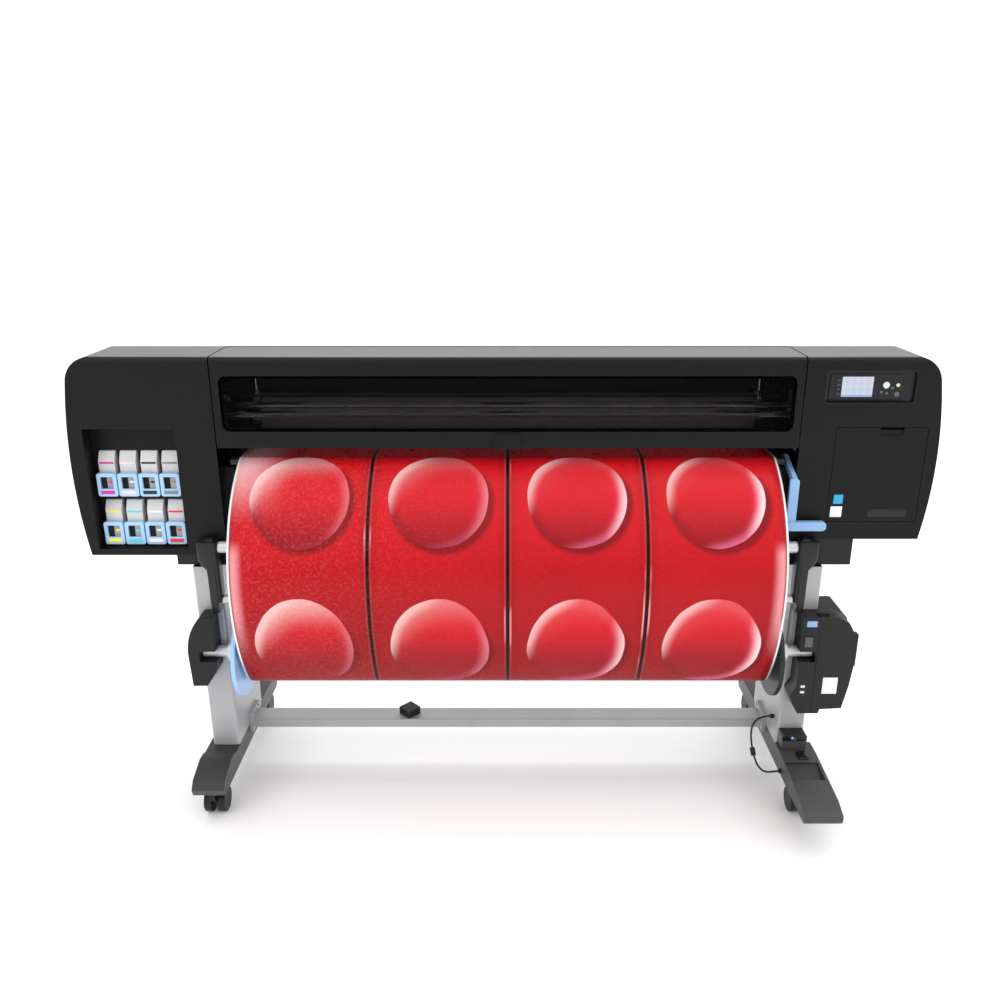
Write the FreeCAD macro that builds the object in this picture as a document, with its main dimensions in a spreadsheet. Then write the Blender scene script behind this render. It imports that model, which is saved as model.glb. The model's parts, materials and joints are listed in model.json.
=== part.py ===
import FreeCAD, Part
import math
import os
import Sketcher
from FreeCAD import Placement, Rotation, Vector

# A roll-fed large-format printer cutter on a wheeled stand, in millimetres. +X is to the right of a
# person who stands in front of it, +Y goes back and +Z up. The origin is on the floor, under the
# middle of the machine. Every size is a cell of the sheet "Sizes" and every piece is bound to them.

doc = FreeCAD.newDocument("PrinterCutter")
sheet = doc.addObject("Spreadsheet::Sheet", "Sizes")


class Length:
    """A cell of the sheet or a sum of cells: its expression and its present value."""

    def __init__(self, text, value):
        self.text, self.value = text, value

    def __add__(self, other):
        return Length(f"({self.text} + {length(other).text})", self.value + length(other).value)

    def __sub__(self, other):
        return Length(f"({self.text} - {length(other).text})", self.value - length(other).value)

    def __mul__(self, other):
        return Length(f"({self.text} * {length(other).text})", self.value * length(other).value)

    def __truediv__(self, other):
        return Length(f"({self.text} / {length(other).text})", self.value / length(other).value)

    def __radd__(self, other):
        return length(other) + self

    def __rsub__(self, other):
        return length(other) - self

    def __neg__(self):
        return Length(f"(0 - {self.text})", -self.value)


def length(thing):
    """A plain number as a Length, and a Length as it is."""
    return thing if isinstance(thing, Length) else Length(repr(float(thing)), float(thing))


def size(alias, millimetres):
    """Write one driving size into the sheet."""
    row = len(sizes) + 1
    sheet.set(f"A{row}", alias)
    sheet.set(f"B{row}", str(millimetres))
    sheet.setAlias(f"B{row}", alias)
    sizes[alias] = Length(f"Sizes.{alias}", float(millimetres))
    return sizes[alias]


sizes = {}
# The body and its covers.
body_wide = size("body_wide", 2430)
body_top = size("body_top", 1370)
body_front = size("body_front", 70)
body_deep = size("body_deep", 450)
top_flat = size("top_flat", 185)
rear_drop = size("rear_drop", 70)
middle = size("middle", 12)
window_wide = size("window_wide", 1624)
shell = size("shell", 4)
seam = size("seam", 2)
shoulder = size("shoulder", 84)
shoulder_drop = size("shoulder_drop", 66)
side_bulge = size("side_bulge", 20)
left_low = size("left_low", 793)
right_low = size("right_low", 843)
base_low = size("base_low", 758)
bed_height = size("bed_height", 1075)
# The window between the covers.
window_low = size("window_low", 1115)
window_thick = size("window_thick", 16)
glass_low = size("glass_low", 46)
glass_top = size("glass_top", 52)
glass_side = size("glass_side", 21)
glass_thick = size("glass_thick", 4)
handle_wide = size("handle_wide", 86)
handle_tall = size("handle_tall", 42)
# The stand.
leg_gap = size("leg_gap", 1676)
leg_wide = size("leg_wide", 82)
leg_front = size("leg_front", 75)
leg_deep = size("leg_deep", 269)
leg_low = size("leg_low", 155)
bar_low = size("bar_low", 139)
bar_tall = size("bar_tall", 31)
bar_front = size("bar_front", 46)
bar_deep = size("bar_deep", 72)
foot_wide = size("foot_wide", 96)
foot_front = size("foot_front", 255)
foot_deep = size("foot_deep", 645)
foot_low = size("foot_low", 96)
foot_tall = size("foot_tall", 59)
caster_tall = size("caster_tall", 96)
wheel_round = size("wheel_round", 75)
wheel_wide = size("wheel_wide", 22)
fork_trail = size("fork_trail", 22)
stem_round = size("stem_round", 11)
front_caster = size("front_caster", 205)
rear_caster = size("rear_caster", 330)
cover_front = size("cover_front", 390)
# The media path.
media_wide = size("media_wide", 1524)
media_thick = size("media_thick", 1.5)
roll_round = size("roll_round", 172)
spindle_round = size("spindle_round", 34)
spindle_height = size("spindle_height", 496)
spindle_front = size("spindle_front", 96)
flange_round = size("flange_round", 262)
supply_round = size("supply_round", 130)
supply_back = size("supply_back", 290)
supply_height = size("supply_height", 1130)
feed_round = size("feed_round", 60)
feed_back = size("feed_back", 130)
pinch_round = size("pinch_round", 22)
bar_round = size("bar_round", 34)
loop_bar_height = size("loop_bar_height", 826)
loop_bar_front = size("loop_bar_front", 90)
low_bar_height = size("low_bar_height", 662)
low_bar_front = size("low_bar_front", 90)
arm_wide = size("arm_wide", 22)
# The ink station and the panel.
ink_pitch = size("ink_pitch", 60)
ink_wide = size("ink_wide", 56)
ink_tall = size("ink_tall", 68)
ink_row_gap = size("ink_row_gap", 147)
ink_low = size("ink_low", 818)
ink_inset = size("ink_inset", 42)
ink_deep = size("ink_deep", 260)
bay_tall = size("bay_tall", 364)
bay_wide = size("bay_wide", 262)
bay_deep = size("bay_deep", 58)
panel_wide = size("panel_wide", 248)
panel_tall = size("panel_tall", 92)
panel_middle = size("panel_middle", 1005)
panel_height = size("panel_height", 1287)
panel_sink = size("panel_sink", 10)
screen_wide = size("screen_wide", 86)
screen_tall = size("screen_tall", 56)
door_wide = size("door_wide", 258)
door_tall = size("door_tall", 280)
door_low = size("door_low", 895)
door_thick = size("door_thick", 5)
# The carriage and its drive.
rod_round = size("rod_round", 18)
rod_height = size("rod_height", 1190)
rod_gap = size("rod_gap", 120)
carriage_wide = size("carriage_wide", 210)
carriage_low = size("carriage_low", 1084)
carriage_tall = size("carriage_tall", 150)
pulley_round = size("pulley_round", 28)
belt_thick = size("belt_thick", 2)
# Fits.
running_gap = size("running_gap", 0.05)
clearance = size("clearance", 1.5)
doc.recompute()


def bind(thing, prop, value):
    """Tie a property of an object to the sheet."""
    thing.setExpression(prop, length(value).text)
    return thing


def move(thing, x, y, z, turn=None):
    """Put an object at a bound place, after an optional turn (axis, degrees)."""
    if turn:
        thing.Placement = Placement(Vector(), Rotation(Vector(*turn[0]), turn[1]))
    for axis, value in zip("xyz", (x, y, z)):
        bind(thing, f".Placement.Base.{axis}", value)
    return thing


def box(name, x, y, z):
    """A block between two limits along each axis."""
    block = doc.addObject("Part::Box", name)
    for prop, (low, high) in zip(("Length", "Width", "Height"), (x, y, z)):
        bind(block, prop, length(high) - low)
    return move(block, x[0], y[0], z[0])


ALONG = {"x": ((0, 1, 0), 90), "y": ((1, 0, 0), -90), "z": ((0, 0, 1), 0)}


def rod(name, axis, reach, across, up, diameter):
    """A round bar along an axis between two limits; across and up place its centre line."""
    bar = doc.addObject("Part::Cylinder", name)
    bind(bar, "Radius", length(diameter) / 2)
    bind(bar, "Height", length(reach[1]) - reach[0])
    at = {"x": (reach[0], across, up), "y": (across, reach[0], up), "z": (across, up, reach[0])}[axis]
    return move(bar, *at, turn=ALONG[axis])


def fuse(name, *things):
    """One object of several; pieces that do not touch stay separate solids of it."""
    joined = doc.addObject("Part::MultiFuse", name)
    joined.Shapes = list(things)
    joined.Refine = True
    return joined


def cut(name, thing, *tools):
    """An object with others taken away from it."""
    result = doc.addObject("Part::Cut", name)
    result.Base = thing
    result.Tool = tools[0] if len(tools) == 1 else fuse(f"{name}_tools", *tools)
    result.Refine = True
    return result


def common(name, *things):
    """The space that objects share."""
    result = doc.addObject("Part::MultiCommon", name)
    result.Shapes = list(things)
    return result


# A sketch lies in a body's origin plane: its name, and the side that its pad grows to.
PLANES = {"x": ("YZ_Plane", 1), "y": ("XZ_Plane", -1), "z": ("XY_Plane", 1)}


def outline(body, plane, corners):
    """A closed sketch. A corner is (a, b), or (a, b, via_a, via_b) when an arc leads on from it."""
    sketch = body.newObject("Sketcher::SketchObject", f"{body.Name}_outline")
    support = [f for f in body.Origin.OriginFeatures if f.Role == plane][0]
    sketch.AttachmentSupport = [(support, "")]
    sketch.MapMode = "FlatFace"
    corners = [[length(value) for value in corner] for corner in corners]
    points = [Vector(corner[0].value, corner[1].value) for corner in corners]
    for i, corner in enumerate(corners):
        start, end = points[i], points[(i + 1) % len(points)]
        if len(corner) == 2:
            sketch.addGeometry(Part.LineSegment(start, end))
        else:
            sketch.addGeometry(Part.Arc(start, Vector(corner[2].value, corner[3].value), end))
    for i, corner in enumerate(corners):
        after = (i + 1) % len(corners)
        here, there = edge_ends(sketch, i, points[i]), edge_ends(sketch, after, points[after])
        sketch.addConstraint(Sketcher.Constraint("Coincident", i, here[1], after, there[0]))
        pin_point(sketch, i, here[0], corner[:2])
        if len(corner) == 4:
            via = sketch.addGeometry(Part.Point(Vector(corner[2].value, corner[3].value)), True)
            pin_point(sketch, via, 1, corner[2:])
            sketch.addConstraint(Sketcher.Constraint("PointOnObject", via, 1, i))
    return sketch


def edge_ends(sketch, edge, start):
    """The point numbers of an edge's two ends, first the one at start: an arc may be stored turned."""
    first = sketch.getPoint(edge, 1)
    return (1, 2) if (first - start).Length < 1e-6 else (2, 1)


def pin_point(sketch, edge, point, place):
    """Bind a sketch point's distances from the origin to the sheet."""
    for kind, value in zip(("DistanceX", "DistanceY"), place):
        number = sketch.addConstraint(Sketcher.Constraint(kind, -1, 1, edge, point, value.value))
        sketch.setExpression(f"Constraints[{number}]", value.text)


def slab(name, axis, reach, corners):
    """An outline padded along an axis between two limits."""
    body = doc.addObject("PartDesign::Body", name)
    plane, side = PLANES[axis]
    sketch = outline(body, plane, corners)
    start = reach[0] if side > 0 else reach[1]
    bind(sketch, ".AttachmentOffset.Base.z", length(start) * side)
    pad = body.newObject("PartDesign::Pad", f"{name}_pad")
    pad.Profile = sketch
    bind(pad, "Length", length(reach[1]) - reach[0])
    return body


ROUND = 0.29289  # the share of a corner's radius between its sharp point and its arc, along each side


def rounded(a, b, radius):
    """The outline of a rectangle with rounded corners between two limits along each way."""
    (a0, a1), (b0, b1), r = [length(v) for v in a], [length(v) for v in b], length(radius)
    near = r * ROUND
    return [
        (a0 + r, b0), (a1 - r, b0, a1 - near, b0 + near),
        (a1, b0 + r), (a1, b1 - r, a1 - near, b1 - near),
        (a1 - r, b1), (a0 + r, b1, a0 + near, b1 - near),
        (a0, b1 - r), (a0, b0 + r, a0 + near, b0 + near),
    ]


nodes = []


def node(name, thing):
    """Name a finished sub-part; its file takes this name."""
    thing.Label = name
    nodes.append(thing)
    return thing


def across(side, near, far):
    """The limits along X of a stretch to the left (-1) or right (1) of the media's middle."""
    near, far = length(near), length(far)
    return (middle + near, middle + far) if side > 0 else (middle - far, middle - near)


def about(centre, wide):
    """The limits of a stretch about a centre."""
    half = length(wide) / 2
    return (length(centre) - half, length(centre) + half)


body_left, body_right = about(0, body_wide)
window_left, window_right = about(middle, window_wide)
front, back = -body_front, body_deep - body_front
flat_back = front + top_flat
slope = rear_drop / (back - flat_back)
top_round = size("top_round", 16)


def section(low, skin):
    """The body's section from front to back, drawn inwards by a skin."""
    top, nose = body_top - skin, front + skin
    near = top_round * ROUND
    return [
        (nose, low), (nose, top - top_round, nose + near, top - near), (nose + top_round, top),
        (flat_back, top), (back - skin, top - slope * (back - skin - flat_back)), (back - skin, low),
    ]


def end_block(name, side, inner, low, skin):
    """The solid form of an end cover, from its seam to its bulging side."""
    wall = (body_left + skin) if side < 0 else (body_right - skin)
    top = body_top - skin

    def inward(distance):
        return wall - length(distance) * side

    low_side = top - shoulder_drop
    round_x, round_z = shoulder * ROUND, shoulder_drop * ROUND
    form = slab(f"{name}_form", "y", (front + skin, back - skin), [
        (inner, low),
        (inward(side_bulge), low, wall, (low + low_side) / 2),
        (inward(side_bulge), low_side, inward(side_bulge + round_x), top - round_z),
        (inward(side_bulge + shoulder), top),
        (inner, top),
    ])
    reach = (wall, inner) if side < 0 else (inner, wall)
    return common(name, form, slab(f"{name}_section", "x", reach, section(low, skin)))


def end_cover(name, side, low, *cuts):
    """An end cover: a shell that is open below and towards the window."""
    inner = (window_left - seam) if side < 0 else (window_right + seam)
    block = end_block(f"{name}_block", side, inner, low, length(0))
    past = inner - shell * side * 2
    room = end_block(f"{name}_room", side, past, low - shell, shell)
    return cut(f"{name}_shell", block, room, *cuts)


# The ink bay is let into the left cover's front; the panel and the door into the right cover's.
bay = (body_left + ink_inset, body_left + ink_inset + bay_wide)
bay_low = ink_low - 10
bay_top = bay_low + bay_tall
bay_cut = slab("bay_cut", "y", (front - 1, front + shell + 1), rounded(bay, (bay_low, bay_top), 8))
node("left_end_cover", end_cover("left_end", -1, left_low, bay_cut))

panel = about(panel_middle, panel_wide)
panel_span = (panel_height - panel_tall / 2, panel_height + panel_tall / 2)
panel_cut = slab("panel_cut", "y", (front - 1, front + shell + 1), rounded(panel, panel_span, 12))
door = (body_right - side_bulge - 14 - door_wide, body_right - side_bulge - 14)
door_span = (door_low, door_low + door_tall)
door_cut = slab("door_cut", "y", (front - 1, front + shell + 1), rounded(door, door_span, 6))
node("right_end_cover", end_cover("right_end", 1, right_low, panel_cut, door_cut))

# The top cover closes the back of the machine and carries the window's hinges.
hinge_back = size("hinge_back", 105)
hinge_drop = size("hinge_drop", 9)
hinge_round = size("hinge_round", 14)
pin_round = size("pin_round", 6)
hinge_long = size("hinge_long", 50)
hinge_inset = size("hinge_inset", 90)
middle_span = (window_left, window_right)
hinge_high = body_top - hinge_drop
hinge_skin = (hinge_high - 4, body_top - 2)
top_front = hinge_back + hinge_drop
window_rear = hinge_back - hinge_drop + 1
pin_hole = pin_round + running_gap * 2
hinge_middles = (window_left + hinge_inset, middle, window_right - hinge_inset)


def hinge_piece(name, centre, side):
    """A barrel about the hinge line with its tongue, forwards (-1) or backwards (1)."""
    reach = about(centre, hinge_long)
    tongue = sorted([hinge_back, hinge_back + (hinge_drop + 4) * side], key=lambda v: v.value)
    barrel = rod(f"{name}_barrel", "x", reach, hinge_back, hinge_high, hinge_round)
    return fuse(name, barrel, box(f"{name}_tongue", reach, tongue, hinge_skin))


top_form = slab("top_form", "x", middle_span, [
    (top_front, body_top), (flat_back, body_top), (back, body_top - rear_drop),
    (back, body_top - rear_drop - shell), (flat_back, body_top - shell), (top_front, body_top - shell),
])
hinge_ears = []
for number, centre in enumerate(hinge_middles):
    ear_step = hinge_long + 1
    for side in (-1, 1):
        hinge_ears.append(hinge_piece(f"ear_{number}_{side + 1}", centre + ear_step * side, 1))
    pin_reach = about(centre, ear_step * 3)
    hinge_ears.append(rod(f"hinge_pin_{number}", "x", pin_reach, hinge_back, hinge_high, pin_round))
node("top_cover", fuse("top_cover_joined", top_form, *hinge_ears))

rear_low = size("rear_low", 800)
rear_slot = size("rear_slot", 60)
rear_panel = box("rear_panel", middle_span, (back - shell, back), (rear_low, body_top - rear_drop - shell))
rear_gap = box("rear_gap", about(middle, media_wide), (back - shell * 2, back + 1),
               (bed_height - 40, bed_height - 40 + rear_slot))
node("rear_cover", cut("rear_cover_cut", rear_panel, rear_gap))

# The window: a frame that wraps over the top edge, its glass, and a pull at its lower edge.
window_span = (window_left + seam, window_right - seam)
inner_face = front + window_thick
window_form = slab("window_form", "x", window_span, [
    (front, window_low),
    (front, body_top - top_round, front + top_round * ROUND, body_top - top_round * ROUND),
    (front + top_round, body_top), (window_rear, body_top), (window_rear, body_top - 8),
    (inner_face, body_top - 8), (inner_face, window_low),
])
glass_across = (window_left + glass_side, window_right - glass_side)
glass_up = (window_low + glass_low, body_top - glass_top)
rebate = size("rebate", 8)
glass_sink = size("glass_sink", 2)
glass_back = front + glass_sink + glass_thick
rebate_cut = slab("rebate_cut", "y", (front - 1, glass_back), rounded(glass_across, glass_up, 22))
sight_cut = slab("sight_cut", "y", (front - 1, inner_face + 1), rounded(
    (glass_across[0] + rebate, glass_across[1] - rebate), (glass_up[0] + rebate, glass_up[1] - rebate), 16))
pull = about(middle, handle_wide)
window_pull = slab("window_pull", "y", (front - 8, front), [
    (pull[0], window_low), (pull[1], window_low),
    (pull[1] - 14, window_low + handle_tall), (pull[0] + 14, window_low + handle_tall),
])
knuckles = [hinge_piece(f"knuckle_{i}", centre, -1) for i, centre in enumerate(hinge_middles)]
knuckle_bore = rod("knuckle_bore", "x", window_span, hinge_back, hinge_high, pin_hole)
window_body = cut("window_body", window_form, rebate_cut, sight_cut)
knuckle_set = cut("knuckle_set", fuse("knuckle_row", *knuckles), knuckle_bore)
node("window_frame", fuse("window_joined", window_body, knuckle_set, window_pull))
pane_reach = (front + glass_sink, glass_back)
node("window_glass", slab("window_pane", "y", pane_reach, rounded(glass_across, glass_up, 22)))

# The chassis: a hollow beam under the bed, a pan below the end covers and an end plate at each side.
beam_skin = size("beam_skin", 3)
beam_front = size("beam_front", 60)
beam_back = size("beam_back", 345)
beam_top = size("beam_top", 1040)
beam_chin = size("beam_chin", 850)
beam_brow = size("beam_brow", 5)
pan_left = size("pan_left", 954)
pan_right = size("pan_right", 1015)
beam_span = (window_left - 38, window_right + 38)


def beam_section(skin):
    """The beam's section: a sloped front that keeps behind the hanging media."""
    return [
        (skin - beam_front, base_low + skin), (beam_back - skin, base_low + skin),
        (beam_back - skin, beam_top - skin), (skin - beam_brow, beam_top - skin),
        (skin - beam_front, beam_chin),
    ]


beam_inside = (beam_span[0] + beam_skin, beam_span[1] - beam_skin)
beam = cut("beam", slab("beam_form", "x", beam_span, beam_section(length(0))),
           slab("beam_room", "x", beam_inside, beam_section(beam_skin)))
pan_reach = (2 - beam_front, beam_back)
feed_slot = box("feed_slot", about(middle, media_wide + 110), about(feed_back, feed_round + clearance * 4),
                (beam_top - beam_skin - 1, beam_top + 1))
pan_l = box("pan_l", (-pan_left, beam_span[0]), pan_reach, (base_low, left_low - 1))
pan_r = box("pan_r", (beam_span[1], pan_right), pan_reach, (base_low, right_low + 30))
plate_thick = size("plate_thick", 8)
plate_front = size("plate_front", 30)
plate_top = size("plate_top", 1296)
plate_left = size("plate_left", 898)
plate_right = size("plate_right", 1120)
shelf_low = size("shelf_low", 990)
plate_reach = (-plate_front, beam_back)
plate_l = box("plate_l", (-plate_left, plate_thick - plate_left), plate_reach, (left_low - 1, plate_top))
plate_r = box("plate_r", (plate_right - plate_thick, plate_right), plate_reach, (shelf_low, plate_top))
shelf = box("shelf", (beam_span[1], plate_right), plate_reach, (shelf_low, shelf_low + plate_thick))
lever_back = size("lever_back", 20)
lever_high = size("lever_high", 1062)
lever_pin = size("lever_pin", 10)
lever_plate = (window_right - 21, window_right - 15)
lever_ear = box("lever_ear", lever_plate, about(lever_back, 30), (beam_top, lever_high + 12))
lever_stud = rod("lever_stud", "x", (lever_plate[1], window_right), lever_back, lever_high, lever_pin)
cheek = box("cheek", (beam_span[1], beam_span[1] + plate_thick), plate_reach, (right_low + 30, shelf_low))
node("base_frame", fuse("base_joined", cut("beam_slotted", beam, feed_slot), pan_l, pan_r, plate_l, plate_r,
                        shelf, cheek, lever_ear, lever_stud))

# The print zone: platen, slider rods, feed and pinch rollers.
platen_front = size("platen_front", 40)
platen_thick = size("platen_thick", 18)
bed_span = (window_left + 24, window_right - 24)
feed_low = bed_height - feed_round / 2
platen_back = feed_back - feed_round / 2 - clearance
platen_form = slab("platen_form", "x", bed_span, [
    (2 - platen_front, bed_height - platen_thick), (platen_back, bed_height - platen_thick),
    (platen_back, bed_height),
    (10 - platen_front, bed_height, 3 - platen_front, bed_height - 3), (-platen_front, bed_height - 10),
])
groove_pitch = size("groove_pitch", 150)
groove_high = (bed_height - 3, bed_height + 1)
grooves = [
    box(f"groove_{i}", about(middle + groove_pitch * i, 90), (length(0), length(60)), groove_high)
    for i in range(-5, 6)
]
post_high = (beam_top, bed_height - platen_thick)
posts = [
    box(f"platen_post_{i}", about(middle + x, 30), (length(10), length(40)), post_high)
    for i, x in enumerate((-700, -350, 0, 350, 700))
]
node("platen", fuse("platen_joined", cut("platen_cut", platen_form, *grooves), *posts))

rod_middle = size("rod_middle", 80)
rod_front, rod_rear = rod_middle - rod_gap / 2, rod_middle + rod_gap / 2
rod_reach = (plate_thick - plate_left, plate_right - plate_thick)
node("slider_rods", fuse("slider_rod_pair",
                         rod("rod_a", "x", rod_reach, rod_front, rod_height, rod_round),
                         rod("rod_b", "x", rod_reach, rod_rear, rod_height, rod_round)))

media_gap = size("media_gap", 0.5)
roller_span = about(middle, media_wide + 40)
node("feed_roller", fuse("feed_roller_joined",
                         rod("feed_drum", "x", roller_span, feed_back, feed_low, feed_round),
                         rod("feed_axle", "x", about(middle, media_wide + 90), feed_back, feed_low, 14)))
pinch_height = bed_height + media_gap * 2 + media_thick + pinch_round / 2
pinch_long = size("pinch_long", 60)
pinch_step = size("pinch_step", 190)
pinch_reaches = [about(middle + pinch_step * (i - 3.5), pinch_long) for i in range(8)]
pinch_parts = [
    rod(f"pinch_{i}", "x", reach, feed_back, pinch_height, pinch_round)
    for i, reach in enumerate(pinch_reaches)
]
pinch_axle = rod("pinch_axle", "x", roller_span, feed_back, pinch_height, 8)
node("pinch_rollers", fuse("pinch_joined", *pinch_parts, pinch_axle))

# The carriage rides on the rods and is parked at the right, over the service station.
carriage_park = size("carriage_park", 960)
carriage_front = size("carriage_front", 35)
head_back = size("head_back", 92)
carriage_back = rod_rear + 26
carriage_span = about(carriage_park, carriage_wide)
carriage_top = carriage_low + carriage_tall
head_block = box("head_block", carriage_span, (-carriage_front, head_back), (carriage_low + 6, carriage_top))
rear_block = box("rear_block", carriage_span, (head_back, carriage_back), (rod_height - 40, carriage_top))
head_step = size("head_step", 40)
head_places = [carriage_park + head_step * (i - 1.5) for i in range(4)]
head_reach, head_high = (length(0), length(60)), (carriage_low, carriage_low + 6)
heads = [box(f"head_{i}", about(x, 26), head_reach, head_high) for i, x in enumerate(head_places)]
cutter_at = carriage_span[0] - 16
cutter = [
    rod("cutter_holder", "z", (carriage_low + 12, carriage_top - 20), cutter_at, length(10), 24),
    rod("cutter_tip", "z", (carriage_low + 2, carriage_low + 12), cutter_at, length(10), 8),
    box("cutter_arm", (cutter_at, carriage_span[0]), (length(0), length(20)), about(rod_height, 40)),
]
belt_back = size("belt_back", 196)
belt_wide = size("belt_wide", 10)
belt_clamp = box("belt_clamp", about(carriage_park, 60), (carriage_back, belt_back - belt_wide / 2 - 1),
                 (rod_height - 20, rod_height + 20))
bush_round = rod_round + running_gap * 2
bushes = [
    rod(f"bush_{i}", "x", (carriage_span[0] - 60, carriage_span[1] + 60), y, rod_height, bush_round)
    for i, y in enumerate((rod_front, rod_rear))
]
carriage_form = fuse("carriage_form", head_block, rear_block, belt_clamp, *heads, *cutter)
node("carriage", cut("carriage_cut", carriage_form, *bushes))

pulley_left = size("pulley_left", 850)
pulley_right = size("pulley_right", 1075)
shaft_round = size("shaft_round", 6)
drive_reach = about(belt_back, belt_wide)


def pulley(name, at):
    """A toothed-belt pulley with its flanges, on a hub that points back."""
    rims = [(drive_reach[0] - 3, drive_reach[0] - 1), (drive_reach[1] + 1, drive_reach[1] + 3)]
    discs = [rod(f"{name}_rim_{i}", "y", rim, at, rod_height, pulley_round + 8) for i, rim in enumerate(rims)]
    drum = rod(f"{name}_drum", "y", (rims[0][0], rims[1][1]), at, rod_height, pulley_round)
    hub = rod(f"{name}_hub", "y", (rims[1][1], rims[1][1] + 12), at, rod_height, 12)
    hole = shaft_round + running_gap * 2
    bore = rod(f"{name}_bore", "y", (rims[0][0] - 1, rims[1][1] + 13), at, rod_height, hole)
    return cut(name, fuse(f"{name}_form", drum, hub, *discs), bore)


def belt_loop(name, reach, grow):
    """A racetrack about both pulleys, grown by a distance."""
    radius = pulley_round / 2 + grow
    high, low = rod_height + radius, rod_height - radius
    return slab(name, "y", reach, [
        (-pulley_left, low), (pulley_right, low, pulley_right + radius, rod_height),
        (pulley_right, high), (-pulley_left, high, -pulley_left - radius, rod_height),
    ])


node("idler_pulley", pulley("idler_form", -pulley_left))
node("drive_pulley", pulley("drive_form", pulley_right))
belt_slack = size("belt_slack", 0.4)
node("drive_belt", cut("belt_ring", belt_loop("belt_outer", drive_reach, belt_slack + belt_thick),
                       belt_loop("belt_inner", (drive_reach[0] - 1, drive_reach[1] + 1), belt_slack)))
motor_wide = size("motor_wide", 56)
node("carriage_motor", fuse(
    "motor_set",
    box("motor_body", about(pulley_right, motor_wide), (belt_back + 26, belt_back + 86),
        about(rod_height, motor_wide)),
    rod("motor_stub", "y", (drive_reach[0] - 4, belt_back + 26), pulley_right, rod_height, shaft_round),
    box("idler_bracket", (plate_thick - plate_left, 20 - pulley_left), (belt_back + 26, belt_back + 32),
        about(rod_height, 60)),
    rod("idler_stub", "y", (drive_reach[0] - 4, belt_back + 26), -pulley_left, rod_height, shaft_round),
))

# The service station caps the parked heads; the electronics are inside the beam.
station_span = (beam_span[1] + 2, carriage_park + 120)
station_high = (shelf_low + plate_thick, carriage_low - 14)
station_form = box("station_form", station_span, (-carriage_front, head_back), station_high)
station_caps = [
    box(f"cap_{i}", about(x, 30), (length(-4), length(64)), (carriage_low - 14, carriage_low - 2))
    for i, x in enumerate(head_places)
]
node("service_station", fuse("station_joined", station_form, *station_caps))
case_left = size("case_left", 500)
case_right = size("case_right", 300)
case_front = size("case_front", 70)
case_back = size("case_back", 300)
case_top = base_low + 190
node("electronics_box", cut(
    "electronics_case",
    box("electronics_form", (-case_left, case_right), (case_front, case_back),
        (base_low + beam_skin, case_top)),
    box("electronics_room", (-case_left - 1, case_right + 1), (case_front + 2, case_back - 2),
        (base_low + beam_skin + 2, case_top - 2)),
))

# The supply reel at the back.
hub_near = media_wide / 2 + 2
supply_parts = [
    rod(f"supply_hub_{side + 1}", "x", across(side, hub_near, hub_near + 24), supply_back, supply_height, 150)
    for side in (-1, 1)
]
supply_reach = about(middle, media_wide + 120)
supply_parts.append(rod("supply_bar", "x", supply_reach, supply_back, supply_height, 34))
node("supply_spindle", fuse("supply_joined", *supply_parts))
supply_form = rod("supply_form", "x", about(middle, media_wide), supply_back, supply_height, supply_round)
supply_bore = rod("supply_bore", "x", about(middle, media_wide + 2), supply_back, supply_height, 34)
node("supply_roll", cut("supply_cut", supply_form, supply_bore))
holder_far = media_wide / 2 + 60
holders = []
for side in (-1, 1):
    name = f"holder_{side + 1}"
    plate = box(f"{name}_plate", across(side, holder_far - 14, holder_far - 4),
                (supply_back - 30, supply_back + 30), (beam_top, supply_height + 10))
    notch = rod(f"{name}_notch", "x", across(side, holder_far - 16, holder_far), supply_back, supply_height,
                34 + running_gap * 2)
    mouth = box(f"{name}_mouth", across(side, holder_far - 16, holder_far),
                about(supply_back, 34 + running_gap * 2), (supply_height, supply_height + 20))
    holders.append(cut(name, plate, notch, mouth))
node("roll_holders", fuse("holders_joined", *holders))

# The ink bay: a tub let into the left cover, with a slot for each drawer in its back wall.
bay_skin = size("bay_skin", 3)
bay_back = front + bay_deep
bay_form = slab("bay_form", "y", (front, bay_back), rounded(bay, (bay_low, bay_top), 8))
bay_room = slab("bay_room", "y", (front - 1, bay_back - bay_skin), rounded(
    (bay[0] + bay_skin, bay[1] - bay_skin), (bay_low + bay_skin, bay_top - bay_skin), 6))
bay_middle = (bay[0] + bay[1]) / 2
tank_tall = size("tank_tall", 128)
tank_wide = size("tank_wide", 46)
drawer_places = [
    (bay_middle + ink_pitch * (column - 1.5), ink_low + ink_row_gap * (1 - line))
    for line in range(2) for column in range(4)
]
bay_slots = [
    box(f"bay_slot_{i}", about(x, tank_wide + 8), (bay_back - bay_skin - 1, bay_back + 1),
        (z + 2, z + tank_tall + 4))
    for i, (x, z) in enumerate(drawer_places)
]
node("ink_bay", cut("bay_cut_out", bay_form, bay_room, *bay_slots))


def ink_drawer(number, x, z):
    """A drawer: a pull with a square window, a tray, and the tall ink tank that stands in it."""
    name = f"drawer_{number}"
    face = bay_back - bay_skin - 32
    pull = slab(f"{name}_pull", "y", (face, face + 12), rounded(about(x, ink_wide), (z, z + ink_tall), 6))
    sight = slab(f"{name}_sight", "y", (face - 1, face + 13),
                 rounded(about(x, ink_wide - 20), (z + 22, z + ink_tall - 10), 3))
    tray = box(f"{name}_tray", about(x, tank_wide + 4), (face + 12, face + ink_deep), (z + 4, z + 10))
    tank = slab(f"{name}_tank", "x", about(x, tank_wide), [
        (face + 16, z + 10), (face + ink_deep, z + 10), (face + ink_deep, z + tank_tall),
        (face + 30, z + tank_tall), (face + 16, z + tank_tall - 26),
    ])
    return fuse(name, cut(f"{name}_frame", pull, sight), tray, tank)


for number, (x, z) in enumerate(drawer_places, 1):
    node(f"ink_drawer_{number}", ink_drawer(number, x, z))

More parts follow.
